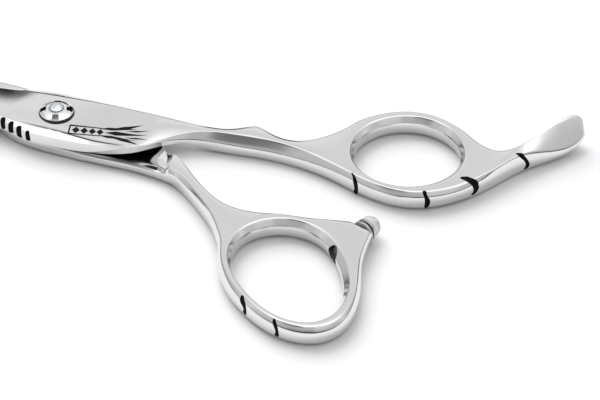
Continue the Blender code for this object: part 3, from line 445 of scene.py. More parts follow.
def finger_cage():
    cg = Cage()
    def spec(k, a):
        return {}
    ring_band(cg, FINGER_C, FINGER_A0, lambda a: FINGER_LIP, finger_out, spec,
              [(0, 5), (10, 3)], Z_HANDLE, Z_HANDLE - 1.10, Z_FLOOR)
    strip_band(cg, 's', finger_rows(), 5, 0, 'point')
    strip_band(cg, 'g', tang_rows(), 3, 10, 'quads')
    return cg


# -------------------------------------------------------------- thumb half
def thumb_blade_rows():
    """Point to heel, in the closed position, then turned to the rest angle.
    F is the spine, N is the cutting edge; the flat inner face is on top."""
    rows = []
    zt = Z_LOW_TOP
    table = [  # x, spine y, edge y, thickness
        (62.9, -1.25, -0.80, 0.55),
        (58.0, -2.35, 0.35, 1.15),
        (50.0, -3.75, 1.35, 1.50),
        (40.0, -5.20, 2.40, 1.80),
        (30.0, -6.50, 3.35, 2.00),
        (21.5, -7.40, 4.10, 2.15),
        (15.8, -7.75, 4.60, 2.20),
        (12.8, -7.85, 4.90, 2.20),
        (10.6, -7.85, 5.35, 2.20),
    ]
    for x, ys, ye, th in table:
        F, N = turn((x, ys), -REST_OPEN), turn((x, ye), -REST_OPEN)
        rows.append(dict(F=F, N=N, th=th, x=x, edge=True))
    for x, yf, yn in [(8.6, -7.70, 6.10), (5.0, -7.60, 7.15), (0.0, -7.45, 7.45),
                      (-5.0, -7.0, 7.10)]:
        rows.append(dict(F=turn((x, yf), -REST_OPEN), N=turn((x, yn), -REST_OPEN),
                         th=2.2, x=x, edge=False))
    return rows


def thumb_rows():
    zt = Z_LOW_TOP
    rows = []
    for r in thumb_blade_rows():
        zb = zt - r['th']
        if r['edge']:
            rows.append(row(r['F'], r['N'], 0.25, 0.25, (zt - 0.12, zt, zt, zt, zt - 0.10),
                            zb, cr=(1.0, 1.0, 1.0, 0.4), ins=0.6))
        else:
            rows.append(row(r['F'], r['N'], 0.25, 0.25, (zt - 0.2, zt, zt, zt, zt - 0.2),
                            zb, cr=(0.7, 0.6, 0.5, 0.45), ins=0.30))
    flat = (0.7, 0.6, 0.5, 0.35)
    rows += [
        row((-9.0, -5.90), (-9.5, 8.10), 0.25, 0.3, (zt - .25, zt, zt - .10, zt, zt - .3), 0.08, cr=flat),
        row((-14.0, -4.90), (-14.5, 8.10), 0.25, 0.3, (zt - .25, zt, zt - 1.15, zt, zt - .3), 0.06, cr=flat),
        row((-18.6, -2.90), (-19.5, 8.15), 0.25, 0.35, (zt - .25, zt, zt - 1.40, zt, zt - .3), 0.05, cr=flat),
        row((-22.4, 0.20), (-23.6, 8.75), 0.25, 0.4, (zt - .25, zt, zt - 1.30, zt, zt - .3), 0.05, cr=flat),
        row((-24.6, 2.75), (-25.8, 9.20), 0.25, 0.45, (zt - .6, zt - .45, zt - 1.25, zt, zt - .3), 0.05,
            cr=flat, line=0.55),
        row((-26.5, 4.05), (-27.1, 9.70), 0.35, 0.55, (3.1, 3.85, 4.00, 3.85, 3.0), 0.05,
            cr=(0.55, 0.5, 0.4, 0.25), line=0.6),
        row((-29.0, 5.60), (-28.4, 10.25), 0.5, 0.7, (3.2, 4.05, 4.20, 4.05, 3.1), 0.05,
            cr=(0.45, 0.4, 0.36, 0.25)),
        row((-31.2, 7.75), (-30.0, 11.35), 0.8, 0.9, (3.2, 4.15, 4.30, 4.15, 3.1), Z_FLOOR),
        row((-35.0, 11.35), (-33.1, 13.95), 0.8, 0.8, (3.0, 4.20, 4.32, 4.20, 2.9), Z_FLOOR),
        row((-38.6, 14.25), (-36.2, 17.0), 0.8, 0.8, (3.0, 4.20, 4.32, 4.20, 2.9), Z_FLOOR),
        row((-42.2, 16.15), (-39.0, 19.9), 0.8, 0.8, (3.0, 4.20, 4.32, 4.20, 2.9), Z_FLOOR),
        row((-46.0, 16.55), (-41.3, 23.2), 0.8, 0.8, (3.0, 4.20, 4.32, 4.20, 2.9), Z_FLOOR),
        row((-49.6, 16.15), (-42.6, 25.6), 0.8, 0.8, (3.0, 4.22, 4.32, 4.22, 2.9), Z_FLOOR),
    ]
    return rows


def thumb_lip(a):
    return periodic([(0, 11.95), (18, 10.55), (36, 9.95), (54, 9.95), (72, 10.65),
                     (90, 12.15), (108, 14.25), (126, 15.85), (144, 15.15), (162, 13.35),
                     (180, 12.05), (198, 11.25), (216, 11.05), (234, 11.50), (252, 12.55),
                     (270, 13.75), (288, 14.65), (306, 15.05), (324, 14.70), (342, 13.45)], a)


def thumb_out(a):
    return periodic([(0, 13.85), (18, 12.45), (36, 11.75), (54, 11.65), (72, 12.35),
                     (90, 13.95), (108, 16.20), (126, 18.05), (144, 17.55), (162, 15.55),
                     (180, 14.10), (198, 13.55), (216, 14.60), (234, 18.4), (252, 17.8),
                     (270, 16.05), (288, 16.55), (306, 18.0), (324, 17.6), (342, 15.95)], a)


def thumb_cage():
    cg = Cage()
    bx, by = BUMP_BASE
    px, py = -sin(radians(BUMP_DIR)), cos(radians(BUMP_DIR))
    e1 = (bx - px * 2.45, by - py * 2.45)
    e2 = (bx + px * 2.45, by + py * 2.45)
    def spec(k, a):
        s = {'bo': 0.95, 'zm': 2.9, 'cro': 0.25, 'crm': 0.25}
        if k in (13, 14):
            s = {'om': e1 if k == 13 else e2, 'bo': 0.5, 'zm': 3.3, 'zt': 4.32,
                 'cro': 0.45, 'crm': 0.4}
        if k in (11, 12):
            s = {'bo': 0.8, 'zm': 3.0, 'cro': 0.3, 'crm': 0.3}
        s['ci'] = {8: 1.0, 9: 1.15, 10: 1.3, 11: 1.4, 12: 1.4, 13: 1.3, 14: 1.1}.get(k, INNER_CHAMFER)
        return s
    ring_band(cg, THUMB_C, THUMB_A0, thumb_lip, thumb_out, spec,
              [(16, 3)], Z_HANDLE, 3.0, Z_FLOOR)
    strip_band(cg, 's', thumb_rows(), 3, 16, 'point')
    for k in (13, 14):
        cg.crease(('om', k), ('ot', k), 0.5)
        cg.crease(('om', k), ('ob', k), 0.5)
    return cg


# --------------------------------------------------------- round solid pieces
def lathe(name, profile, mat, centre=(0, 0, 0), axis=(0, 0, 1), seg=32, parent=None,
          sharp=35.0):
    """Turned solid. profile: (radius, height) from the bottom up the outside
    and back down the inside; a radius of 0 closes on the axis."""
    bm = bmesh.new()
    q = Vector((0, 0, 1)).rotation_difference(Vector(axis).normalized()).to_matrix()
    rings = []
    for r, h in profile:
        if r <= 1e-9:
            rings.append([bm.verts.new(Vector(centre) * MM + q @ Vector((0, 0, h * MM)))])
        else:
            rings.append([bm.verts.new(Vector(centre) * MM + q @ Vector(
                (r * MM * cos(2 * pi * k / seg), r * MM * sin(2 * pi * k / seg), h * MM)))
                for k in range(seg)])
    pairs = list(zip(rings[:-1], rings[1:]))
    if len(rings[0]) > 1 or len(rings[-1]) > 1:
        pairs.append((rings[-1], rings[0]))
    for A, B in pairs:
        for k in range(seg):
            n = (k + 1) % seg
            if len(A) > 1 and len(B) > 1:
                bm.faces.new([A[k], A[n], B[n], B[k]])
        if len(A) == 1 and len(B) > 1:
            bm.faces.new(list(reversed(B)))
        elif len(B) == 1 and len(A) > 1:
            bm.faces.new(A)
    for A in rings:
        if len(A) == 1:
            bm.verts.remove(A[0])
    return add_object(name, bm, mat, parent, sharp=sharp)


def prism(name, outline, z0, z1, mat=None, parent=None):
    bm = bmesh.new()
    lo = [bm.verts.new((x * MM, y * MM, z0 * MM)) for x, y in outline]
    hi = [bm.verts.new((x * MM, y * MM, z1 * MM)) for x, y in outline]
    n = len(outline)
    bm.faces.new(list(reversed(lo)))
    bm.faces.new(hi)
    for k in range(n):
        bm.faces.new([lo[k], lo[(k + 1) % n], hi[(k + 1) % n], hi[k]])
    return add_object(name, bm, mat, parent, smooth=False)



# ==================================================================== finishes
def nodes_of(name, rgb, rough, metal=0.0):
    m = bpy.data.materials.new(name)
    m.use_nodes = True
    nt = m.node_tree
    b = nt.nodes["Principled BSDF"]
    b.inputs["Base Color"].default_value = (rgb[0], rgb[1], rgb[2], 1)
    b.inputs["Roughness"].default_value = rough
    b.inputs["Metallic"].default_value = metal
    m.diffuse_color = (rgb[0], rgb[1], rgb[2], 1)
    return m, nt, b


def add(nt, kind, **kw):
    n = nt.nodes.new(kind)
    for k, v in kw.items():
        setattr(n, k, v)
    return n


def noise(nt, vec, scale, detail=3.0, rough=0.5):
    n = add(nt, "ShaderNodeTexNoise")
    n.inputs["Scale"].default_value = scale
    n.inputs["Detail"].default_value = detail
    n.inputs["Roughness"].default_value = rough
    nt.links.new(vec, n.inputs["Vector"])
    return n.outputs["Fac"]


def remap(nt, fac, lo, hi, a=0.0, b=1.0):
    n = add(nt, "ShaderNodeMapRange")
    n.inputs["From Min"].default_value = a
    n.inputs["From Max"].default_value = b
    n.inputs["To Min"].default_value = lo
    n.inputs["To Max"].default_value = hi
    nt.links.new(fac, n.inputs["Value"])
    return n.outputs["Result"]


def mix_colour(nt, fac, c0, c1):
    n = add(nt, "ShaderNodeMix", data_type='RGBA')
    n.inputs[6].default_value = (*c0, 1)
    n.inputs[7].default_value = (*c1, 1)
    nt.links.new(fac, n.inputs[0])
    return n.outputs[2]


def stretched(nt, angle, sx, sy, sz=1.0):
    tc = add(nt, "ShaderNodeTexCoord")
    mp = add(nt, "ShaderNodeMapping")
    mp.inputs["Rotation"].default_value = (0, 0, radians(angle))
    mp.inputs["Scale"].default_value = (sx, sy, sz)
    nt.links.new(tc.outputs["Object"], mp.inputs["Vector"])
    return mp.outputs["Vector"]


def bump(nt, height, strength, distance, bsdf, normal=None):
    n = add(nt, "ShaderNodeBump")
    n.inputs["Strength"].default_value = strength
    n.inputs["Distance"].default_value = distance
    nt.links.new(height, n.inputs["Height"])
    if normal is not None:
        nt.links.new(normal, n.inputs["Normal"])
    nt.links.new(n.outputs["Normal"], bsdf.inputs["Normal"])
    return n.outputs["Normal"]


def polished_steel(name, rgb, r0, r1, line_angle, line_strength):
    """Hand-polished steel: faint buffing lines, patchy haze, hairline marks."""
    m, nt, b = nodes_of(name, rgb, r0, 1.0)
    v = stretched(nt, 0, 1, 1, 1)
    lines = stretched(nt, line_angle, 1.0, 26.0, 26.0)
    haze = noise(nt, v, 90.0, 4.0, 0.6)
    fine = noise(nt, lines, 420.0, 5.0, 0.65)
    b_in = b.inputs
    tone = mix_colour(nt, haze, tuple(c * 0.965 for c in rgb), tuple(min(1, c * 1.03) for c in rgb))
    nt.links.new(tone, b_in["Base Color"])
    mixr = add(nt, "ShaderNodeMath", operation='ADD')
    nt.links.new(remap(nt, haze, 0.0, (r1 - r0) * 0.6, 0.3, 0.7), mixr.inputs[0])
    nt.links.new(remap(nt, fine, r0, r0 + (r1 - r0) * 0.6, 0.3, 0.7), mixr.inputs[1])
    nt.links.new(mixr.outputs[0], b_in["Roughness"])
    bump(nt, fine, line_strength, 0.00002, b)
    return m


def machined_steel(name, rgb, r0, r1):
    m, nt, b = nodes_of(name, rgb, r0, 1.0)
    v = stretched(nt, 0, 1, 1, 1)
    w = add(nt, "ShaderNodeTexWave", wave_type='RINGS', rings_direction='Z')
    w.inputs["Scale"].default_value = 900.0
    w.inputs["Distortion"].default_value = 0.6
    nt.links.new(v, w.inputs["Vector"])
    g = noise(nt, v, 700.0, 3.0)
    nt.links.new(remap(nt, g, r0, r1, 0.3, 0.7), b.inputs["Roughness"])
    tone = mix_colour(nt, g, tuple(c * 0.9 for c in rgb), tuple(min(1, c * 1.06) for c in rgb))
    nt.links.new(tone, b.inputs["Base Color"])
    bump(nt, w.outputs["Fac"], 0.25, 0.00001, b)
    return m


def fill_enamel(name):
    m, nt, b = nodes_of(name, (0.004, 0.004, 0.005), 0.70)
    v = stretched(nt, 0, 1, 1, 1)
    g = noise(nt, v, 2600.0, 4.0, 0.7)
    p = noise(nt, v, 500.0, 2.0)
    nt.links.new(mix_colour(nt, g, (0.0015, 0.0015, 0.002), (0.008, 0.008, 0.009)), b.inputs["Base Color"])
    nt.links.new(remap(nt, p, 0.55, 0.80, 0.3, 0.7), b.inputs["Roughness"])
    b.inputs["Specular IOR Level"].default_value = 0.07
    bump(nt, g, 0.5, 0.00004, b)
    return m


def etched(name):
    m, nt, b = nodes_of(name, (0.006, 0.006, 0.007), 0.7)
    v = stretched(nt, 0, 1, 1, 1)
    g = noise(nt, v, 3000.0, 3.0, 0.7)
    nt.links.new(mix_colour(nt, g, (0.003, 0.003, 0.004), (0.014, 0.014, 0.015)), b.inputs["Base Color"])
    nt.links.new(remap(nt, g, 0.5, 0.75, 0.3, 0.7), b.inputs["Roughness"])
    b.inputs["Specular IOR Level"].default_value = 0.08
    return m


def clear_silicone(name):
    m, nt, b = nodes_of(name, (0.84, 0.85, 0.86), 0.14)
    b.inputs["Transmission Weight"].default_value = 0.62
    b.inputs["IOR"].default_value = 1.41
    v = stretched(nt, 0, 1, 1, 1)
    g = noise(nt, v, 900.0, 3.0)
    nt.links.new(remap(nt, g, 0.10, 0.24, 0.3, 0.7), b.inputs["Roughness"])
    nt.links.new(mix_colour(nt, g, (0.80, 0.81, 0.82), (0.87, 0.875, 0.88)), b.inputs["Base Color"])
    bump(nt, g, 0.12, 0.00003, b)
    return m


def clear_stone(name):
    m, nt, b = nodes_of(name, (0.96, 0.975, 1.0), 0.015)
    b.inputs["Transmission Weight"].default_value = 0.95
    b.inputs["IOR"].default_value = 1.50
    v = stretched(nt, 0, 1, 1, 1)
    g = noise(nt, v, 1500.0, 2.0)
    nt.links.new(remap(nt, g, 0.01, 0.035, 0.3, 0.7), b.inputs["Roughness"])
    nt.links.new(mix_colour(nt, g, (0.93, 0.955, 1.0), (0.98, 0.99, 1.0)), b.inputs["Base Color"])
    return m


def plain_plastic(name, rgb, r0, r1):
    m, nt, b = nodes_of(name, rgb, r0)
    v = stretched(nt, 0, 1, 1, 1)
    g = noise(nt, v, 1200.0, 3.0)
    nt.links.new(remap(nt, g, r0, r1, 0.3, 0.7), b.inputs["Roughness"])
    nt.links.new(mix_colour(nt, g, tuple(c * 0.95 for c in rgb), rgb), b.inputs["Base Color"])
    bump(nt, g, 0.2, 0.00002, b)
    return m


STEEL = polished_steel("mirror_steel", (0.78, 0.78, 0.79), 0.05, 0.12, 17.0, 0.05)
PLATE = polished_steel("bright_plate", (0.88, 0.88, 0.89), 0.03, 0.07, 0.0, 0.03)
TURNED = machined_steel("turned_steel", (0.56, 0.57, 0.59), 0.20, 0.34)
BRONZE = machined_steel("bush_bronze", (0.72, 0.53, 0.28), 0.24, 0.40)
# black enamel of the grip grooves and spine notches; the same black also paints shade into three notches of the dial
ENAMEL_AND_NOTCH_SHADE = fill_enamel("black_enamel")
ETCH = etched("etched_black")
SILICONE = clear_silicone("clear_silicone")
STONE = clear_stone("clear_crystal")
FOIL = plain_plastic("stone_foil_white", (0.90, 0.91, 0.92), 0.25, 0.40)
GLIDE = plain_plastic("glide_plastic", (0.84, 0.84, 0.82), 0.38, 0.52)
# dark rubber of the bumper seal; the same dark material paints the shade ring under the dial
DARK_SEAL_AND_SHADE = plain_plastic("seal_ring", (0.025, 0.025, 0.027), 0.45, 0.65)


# ============================================================ shared shape tools
def baked(ob):
    bpy.context.view_layer.update()
    dg = bpy.context.evaluated_depsgraph_get()
    return bpy.data.meshes.new_from_object(ob.evaluated_get(dg))


def drop(ob):
    bpy.data.objects.remove(ob, do_unlink=True)


def link(name, me):
    ob = bpy.data.objects.new(name, me)
    bpy.context.scene.collection.objects.link(ob)
    return ob


def smooth(me, deg=38.0):
    me.shade_smooth()
    me.set_sharp_from_angle(angle=radians(deg))


class Surface:
    """A finished form that marks are laid on and that a carved copy takes its
    shading from."""

    def __init__(self, me):
        self.me = me
        self.co = [v.co.copy() for v in me.vertices]
        self.polys = [tuple(p.vertices) for p in me.polygons]
        self.loops = [tuple(p.loop_indices) for p in me.polygons]
        self.pn = [p.normal.copy() for p in me.polygons]
        self.cn = [Vector(c.vector) for c in me.corner_normals]
        self.tree = BVHTree.FromPolygons(self.co, self.polys)

    def cast(self, origin, direction):
        return self.tree.ray_cast(origin, direction)

    def normal_near(self, point, facing):
        hit = self.tree.find_nearest(point)
        if hit[0] is None:
            return facing
        k = hit[2]
        if self.pn[k].dot(facing) < 0.6:
            return facing
        w = poly_3d_calc([self.co[i] for i in self.polys[k]], hit[0])
        n = Vector((0, 0, 0))
        for li, wi in zip(self.loops[k], w):
            n += self.cn[li] * wi
        if n.length < 1e-6:
            return facing
        return n.normalized()


def carve(form, tools, surface, name):
    """Cuts the tools out of the form and keeps the form's own smooth shading
    on every face that was not cut."""
    joined = bpy.data.meshes.new("tools")
    bm = bmesh.new()
    mats = []
    for t in tools:
        n0 = len(bm.faces)
        bm.from_mesh(t.data)
        bm.faces.ensure_lookup_table()
        mat = t.data.materials[0]
        if mat not in mats:
            mats.append(mat)
        for f in bm.faces[n0:]:
            f.material_index = mats.index(mat)
    bm.to_mesh(joined)
    bm.free()
    for mat in mats:
        joined.materials.append(mat)
    cutter = link("joined_tools", joined)
    work = link("carving", surface.me.copy())
    m = work.modifiers.new("Carve", 'BOOLEAN')
    m.operation = 'DIFFERENCE'
    m.solver = 'EXACT'
    m.material_mode = 'TRANSFER'
    m.object = cutter
    me = baked(work)
    me.name = name
    drop(work)
    drop(cutter)
    for t in tools:
        drop(t)
    smooth(me, 38.0)
    co = [v.co.copy() for v in me.vertices]
    base = [Vector(c.vector) for c in me.corner_normals]
    out = [None] * len(me.loops)
    for p in me.polygons:
        keep = p.material_index == 0
        cen = p.center
        for li in p.loop_indices:
            if keep:
                q = co[me.loops[li].vertex_index].lerp(cen, 0.03)
                out[li] = surface.normal_near(q, p.normal)
            else:
                out[li] = base[li]
    me.normals_split_custom_set(out)
    return me


def turned(name, profile, mat, centre=(0, 0, 0), axis=(0, 0, 1), seg=96, sharp=32.0):
    ob = lathe(name, profile, mat, centre=centre, axis=axis, seg=seg, sharp=sharp)
    return ob


def rounded(profile, radius, steps=3, keep=()):
    """Rounds the corners of a turned profile."""
    out = []
    n = len(profile)
    for i, p in enumerate(profile):
        if i in keep or p[0] == 0 or i == 0 or i == n - 1:
            out.append(p)
            continue
        a, b = Vector(profile[i - 1]), Vector(profile[(i + 1) % n])
        c = Vector(p)
        da, db = (a - c), (b - c)
        r = min(radius, 0.45 * da.length, 0.45 * db.length)
        s, e = c + da.normalized() * r, c + db.normalized() * r
        for k in range(steps + 1):
            t = k / steps
            q = s * (1 - t) ** 2 + c * 2 * t * (1 - t) + e * t ** 2
            out.append((q.x, q.y))
    return out


# the direction that the marks on the walls face: over the near edge, from above
FACE_R = Vector((-0.953717, -0.300706, 0.0))
FACE_U = Vector((0.189240, -0.600193, 0.777146))
FACE_B = Vector((-0.233693, 0.741177, 0.629320))


def soften(pts, rounds=2):
    for _ in range(rounds):
        out = []
        n = len(pts)
        for i in range(n):
            a, b = Vector(pts[i]), Vector(pts[(i + 1) % n])
            out += [a.lerp(b, 0.25), a.lerp(b, 0.75)]
        pts = out
    return [Vector(p) for p in pts]


def patch(surface, anchor, outline, basis, step, up, down, name, mat, grow=0.0, inside=None):
    """A closed slab that follows the surface. outline: mm in the basis plane
    through anchor; up and down: mm along the basis axis from the surface."""
    r, u, b = basis
    pts = [Vector(p) for p in outline]
    cen = sum(pts, Vector((0, 0))) / len(pts)
    if grow:
        pts = [p + (p - cen).normalized() * grow for p in pts]
    ring = []
    for i, p in enumerate(pts):
        q = pts[(i + 1) % len(pts)]
        k = max(1, int((q - p).length / step))
        ring += [p.lerp(q, j / k) for j in range(k)]
    n = len(ring)
    xs, ys = [p.x for p in ring], [p.y for p in ring]
    grid = []
    x = min(xs) + step / 2
    while x < max(xs):
        y = min(ys) + step / 2
        while y < max(ys):
            g = Vector((x, y))
            if min((g - p).length for p in ring) > 0.45 * step:
                grid.append(g)
            y += step
        x += step
    edges = [(i, (i + 1) % n) for i in range(n)]
    vs, _e, fs, _ov, _oe, _of = delaunay_2d_cdt(ring + grid, edges, [], 1, 1e-6)
    A = Vector(anchor) * MM
    hits, miss = [], []
    for v in vs:
        o = A + r * (v.x * MM) + u * (v.y * MM)
        h = surface.cast(o + b * 0.012, -b)
        if h[0] is None or abs((h[0] - o).dot(b)) > 0.006:
            miss.append(len(hits))
            hits.append(None)
        else:
            hits.append((h[0] - o).dot(b))
    known = [i for i, h in enumerate(hits) if h is not None]
    for i in miss:
        k = min(known, key=lambda j: (vs[j] - vs[i]).length)
        hits[i] = hits[k]
    bm = bmesh.new()
    top, bot = [], []
    for v, d in zip(vs, hits):
        o = A + r * (v.x * MM) + u * (v.y * MM)
        top.append(bm.verts.new(o + b * (d + up * MM)))
        bot.append(bm.verts.new(o + b * (d - down * MM)))
    if up < 0.5:
        for q in top + bot:
            q.co.z = max(q.co.z, 0.00003)
    cnt = {}
    for f in fs:
        bm.faces.new([top[i] for i in f])
        bm.faces.new([bot[i] for i in reversed(f)])
        for i in range(len(f)):
            e = (f[i], f[(i + 1) % len(f)])
            cnt[e] = cnt.get(e, 0) + 1
    for (i, j) in cnt:
        if (j, i) not in cnt:
            bm.faces.new([top[j], top[i], bot[i], bot[j]])
    ob = add_object(name, bm, mat, None, smooth=True, sharp=50.0)
    return ob


def piece(ob, body, slot_name, *replaced):
    if replaced:
        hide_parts(*replaced)
    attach(ob, body)
    return ob


# ================================================================ the two halves
def finished_form(cage, name):
    ob = cage.mesh(name, FORM_LEVEL)
    me = baked(ob)
    drop(ob)
    me.materials.clear()
    me.materials.append(STEEL)
    smooth(me, 38.0)
    return Surface(me)


finger = finished_form(finger_cage(), "finger_form")
thumb = finished_form(thumb_cage(), "thumb_form")

# grip grooves and spine notches: anchor on the wall and outline around it, mm
MARKS = {
    "finger_groove_enamel_1": ((-62.74, 1.41, 2.8), [
        (-0.74, 2.13), (-0.39, 2.09), (0.16, 1.27), (0.47, 0.3), (0.62, -0.67), (0.66, -1.64),
        (0.47, -2.22), (-0.31, -1.52), (-0.04, -1.13), (-0.16, -0.28), (-0.39, 0.5), (-0.35, 1.18)]),
    "finger_groove_enamel_2": ((-77.31, 2.13, 2.94), [
        (-0.85, 1.66), (-0.02, 1.7), (0.11, 0.85), (0.5, 0.18), (0.81, -0.2), (0.69, -1.07),
        (0.31, -1.61), (-0.35, -1.76), (-0.27, -0.69), (-0.31, 0.08), (-0.62, 0.85)]),
    "finger_groove_enamel_3": ((-84.64, -4.05, 3.67), [
        (-2.18, 1.41), (-1.64, 1.54), (-0.67, 1.58), (0.11, 1.22), (0.88, 0.96), (1.38, 0.48),
        (1.46, -0.1), (1.61, -0.49), (1.38, -1.26), (0.69, -1.96), (-0.13, -2.15), (0.3, -1.65),
        (0.49, -1.16), (0.34, -0.58), (0.01, -0.1), (-0.67, 0.38), (-1.35, 0.81), (-2.02, 1.06)]),
    "finger_groove_enamel_4": ((-92.54, -15.13, 3.08), [
        (-1.89, 1.5), (-1.22, 1.53), (-0.36, 1.53), (0.06, 0.95), (0.55, 0.45), (0.94, -0.04),
        (1.25, -0.63), (1.04, -1.22), (0.55, -1.57), (-0.08, -1.73), (0.27, -1.22), (0.39, -0.63),
        (0.15, -0.13), (-0.43, 0.3), (-1.22, 0.89)]),
    "thumb_groove_enamel_1": ((-53.51, 41.84, 3.07), [
        (-0.36, 1.8), (0.09, 1.73), (0.2, 0.93), (0.42, 0.2), (0.56, -0.71), (0.58, -1.62),
        (0.45, -1.95), (-0.24, -1.29), (0.02, -0.98), (-0.05, -0.35), (-0.42, 0.2), (-0.64, 0.75),
        (-0.62, 1.29)]),
    "thumb_groove_enamel_2": ((-60.92, 45.76, 2.94), [
        (-0.42, 1.63), (-0.07, 1.63), (0.15, 1.02), (0.37, 0.12), (0.53, -0.6), (0.65, -1.5),
        (0.47, -1.79), (-0.28, -1.39), (-0.01, -1.05), (-0.03, -0.42), (-0.33, 0.21), (-0.53, 0.84),
        (-0.5, 1.29)]),
    "spine_notch_enamel_1": ((9.36, 5.53, 4.2), [
        (-0.28, 0.98), (0.28, 1.06), (0.4, 0.64), (0.3, -0.26), (0.34, -1.12), (-0.22, -1.26),
        (-0.4, -0.46), (-0.38, 0.44)]),
    "spine_notch_enamel_2": ((7.36, 6.16, 4.01), [
        (-0.24, 0.95), (0.2, 1.15), (0.44, 0.91), (0.34, 0.22), (0.3, -0.48), (0.4, -1.1),
        (0.0, -1.0), (-0.4, -1.04), (-0.48, -0.18), (-0.4, 0.51)]),
    "spine_notch_enamel_3": ((5.36, 6.79, 3.81), [
        (-0.26, 0.98), (0.17, 1.12), (0.41, 0.9), (0.33, 0.11), (0.33, -0.69), (0.41, -1.25),
        (-0.13, -1.13), (-0.38, -0.85), (-0.46, 0.11), (-0.4, 0.7)]),
    "spine_notch_enamel_4": ((3.36, 7.26, 3.75), [
        (-0.22, 0.7), (0.1, 0.87), (0.3, 0.64), (0.3, -0.2), (0.44, -1.15), (-0.26, -1.05),
        (-0.34, -0.2), (-0.32, 0.4)]),
}
FACING = (FACE_R, FACE_U, FACE_B)
tools = {"finger": [], "thumb": []}
inlays = []
for node, (anchor, outline) in MARKS.items():
    side, surf = ("thumb", thumb) if node.startswith("thumb") else ("finger", finger)
    if node.startswith("spine"):
        outline = [(p[0] * 1.42, p[1] * 1.06) for p in outline]
    smooth_line = soften(outline, 2)
    tools[side].append(patch(surf, anchor, smooth_line, FACING, 0.30, 0.9, 0.62, node + "_tool", ENAMEL_AND_NOTCH_SHADE, grow=0.02))
    fill = patch(surf, anchor, smooth_line, FACING, 0.22, -0.07, 0.60, node.replace("enamel", "inlay"), ENAMEL_AND_NOTCH_SHADE)
    if node.startswith("spine"):
        for q in fill.data.vertices:
            q.co.z = max(q.co.z, (Z_UP_BOT + 0.02) * MM)
    inlays.append((fill, side + "_half", node))

pivot_tool = turned("pivot_tool", [
    (0, 1.0), (4.4, 1.0), (4.4, 2.68), (BORE_R, 2.68), (BORE_R, PIVOT_SEAT_Z), (SEAT_R, PIVOT_SEAT_Z),
    (SEAT_R, 9.0), (0, 9.0)], TURNED, seg=96)
tools["finger"].append(pivot_tool)
tools["thumb"].append(turned("nut_tool", [
    (0, -1.0), (NUT_R + 0.1, -1.0), (NUT_R + 0.1, 0.95), (2.10, 0.95), (2.10, 3.0), (0, 3.0)], TURNED, seg=96))
BAX = (cos(radians(BUMP_DIR)), sin(radians(BUMP_DIR)), 0.0)
BC = (BUMP_BASE[0], BUMP_BASE[1], BUMP_Z)
tools["thumb"].append(turned("stud_tool", [
    (0, -10.5), (1.62, -10.5), (1.62, -4.2), (0.95, -3.6), (0.95, 0.02), (6.0, 0.02), (6.0, 8.0), (0, 8.0)],
    TURNED, centre=BC, axis=BAX, seg=64))

finger_body = link("finger_half_body", carve("finger", tools["finger"], finger, "finger_half_body"))
thumb_body = link("thumb_half_body", carve("thumb", tools["thumb"], thumb, "thumb_half_body"))
piece(finger_body, "finger_half", "mirror_steel", "finger_blade", "finger_handle")
piece(thumb_body, "thumb_half", "mirror_steel", "thumb_blade", "thumb_handle")
for fill, body, node in inlays:
    piece(fill, body, "black_enamel", node)

# ============================================ etched line ornament on the blade
DOWN = (Vector((-1, 0, 0)), Vector((0, -1, 0)), Vector((0, 0, 1)))
ORN_A, ORN_B = Vector((-4.4, 4.35)), Vector((-19.3, 0.75))


def ornament():
    """Lozenges between two lines, then spear points that open and taper."""
    d = (ORN_B - ORN_A)
    length = d.length
    d.normalize()
    side = Vector((-d.y, d.x))          # towards the far edge when negative
    out = []

    def shape(pts):
        out.append([ORN_A + d * px + side * py for px, py in pts])

    x = 0.55
    for k in range(4):
        w, h = 1.62 - 0.06 * k, 1.08 - 0.05 * k
        c = x + w / 2
        shape([(c - w / 2, 0), (c, h), (c + w / 2, 0), (c, -h)])
        x += w + 0.08
    # spear points that fan out from the row, symmetric about the middle line
    shape([(7.1, 0), (9.2, 0.62), (15.6, 0), (9.2, -0.62)])
    for x0, x1, y0, y1, t in ((6.0, 13.6, 1.02, 1.75, 0.62), (8.9, 14.4, 1.55, 3.05, 0.66), (11.2, 15.9, 0.95, 1.30, 0.34)):
        for sgn in (1, -1):
            shape([(x0, sgn * y0), (x0 + 1.7, sgn * (y0 + t)), (x1, sgn * y1), (x0 + 2.4, sgn * (y0 - t * 0.30))])
    # border lines of the lozenge row
    for sgn in (-1, 1):
        top, bot = [], []
        for j in range(17):
            t = j / 16
            off = lerp(1.42, 1.20, t)
            th = lerp(0.24, 0.12, t)
            top.append((lerp(0.0, 6.6, t), sgn * (off + th)))
            bot.append((lerp(0.0, 6.6, t), sgn * (off - th)))
        shape(top + list(reversed(bot)))
    shape([(-0.1, -1.6), (0.22, -1.6), (0.22, 1.6), (-0.1, 1.6)])
    return out


for k, poly in enumerate(ornament()):
    c = sum(poly, Vector((0, 0))) / len(poly)
    hit = finger.cast(Vector((c.x * MM, c.y * MM, 0.02)), Vector((0, 0, -1)))
    z = hit[0].z / MM if hit[0] else 4.6
    local = [(-(p.x - c.x), -(p.y - c.y)) for p in poly]
    mark = patch(finger, (c.x, c.y, z), local, DOWN, 0.35, 0.010, 0.05, "blade_etching_%02d" % (k + 1), ETCH)
    piece(mark, "finger_half", "black_enamel")

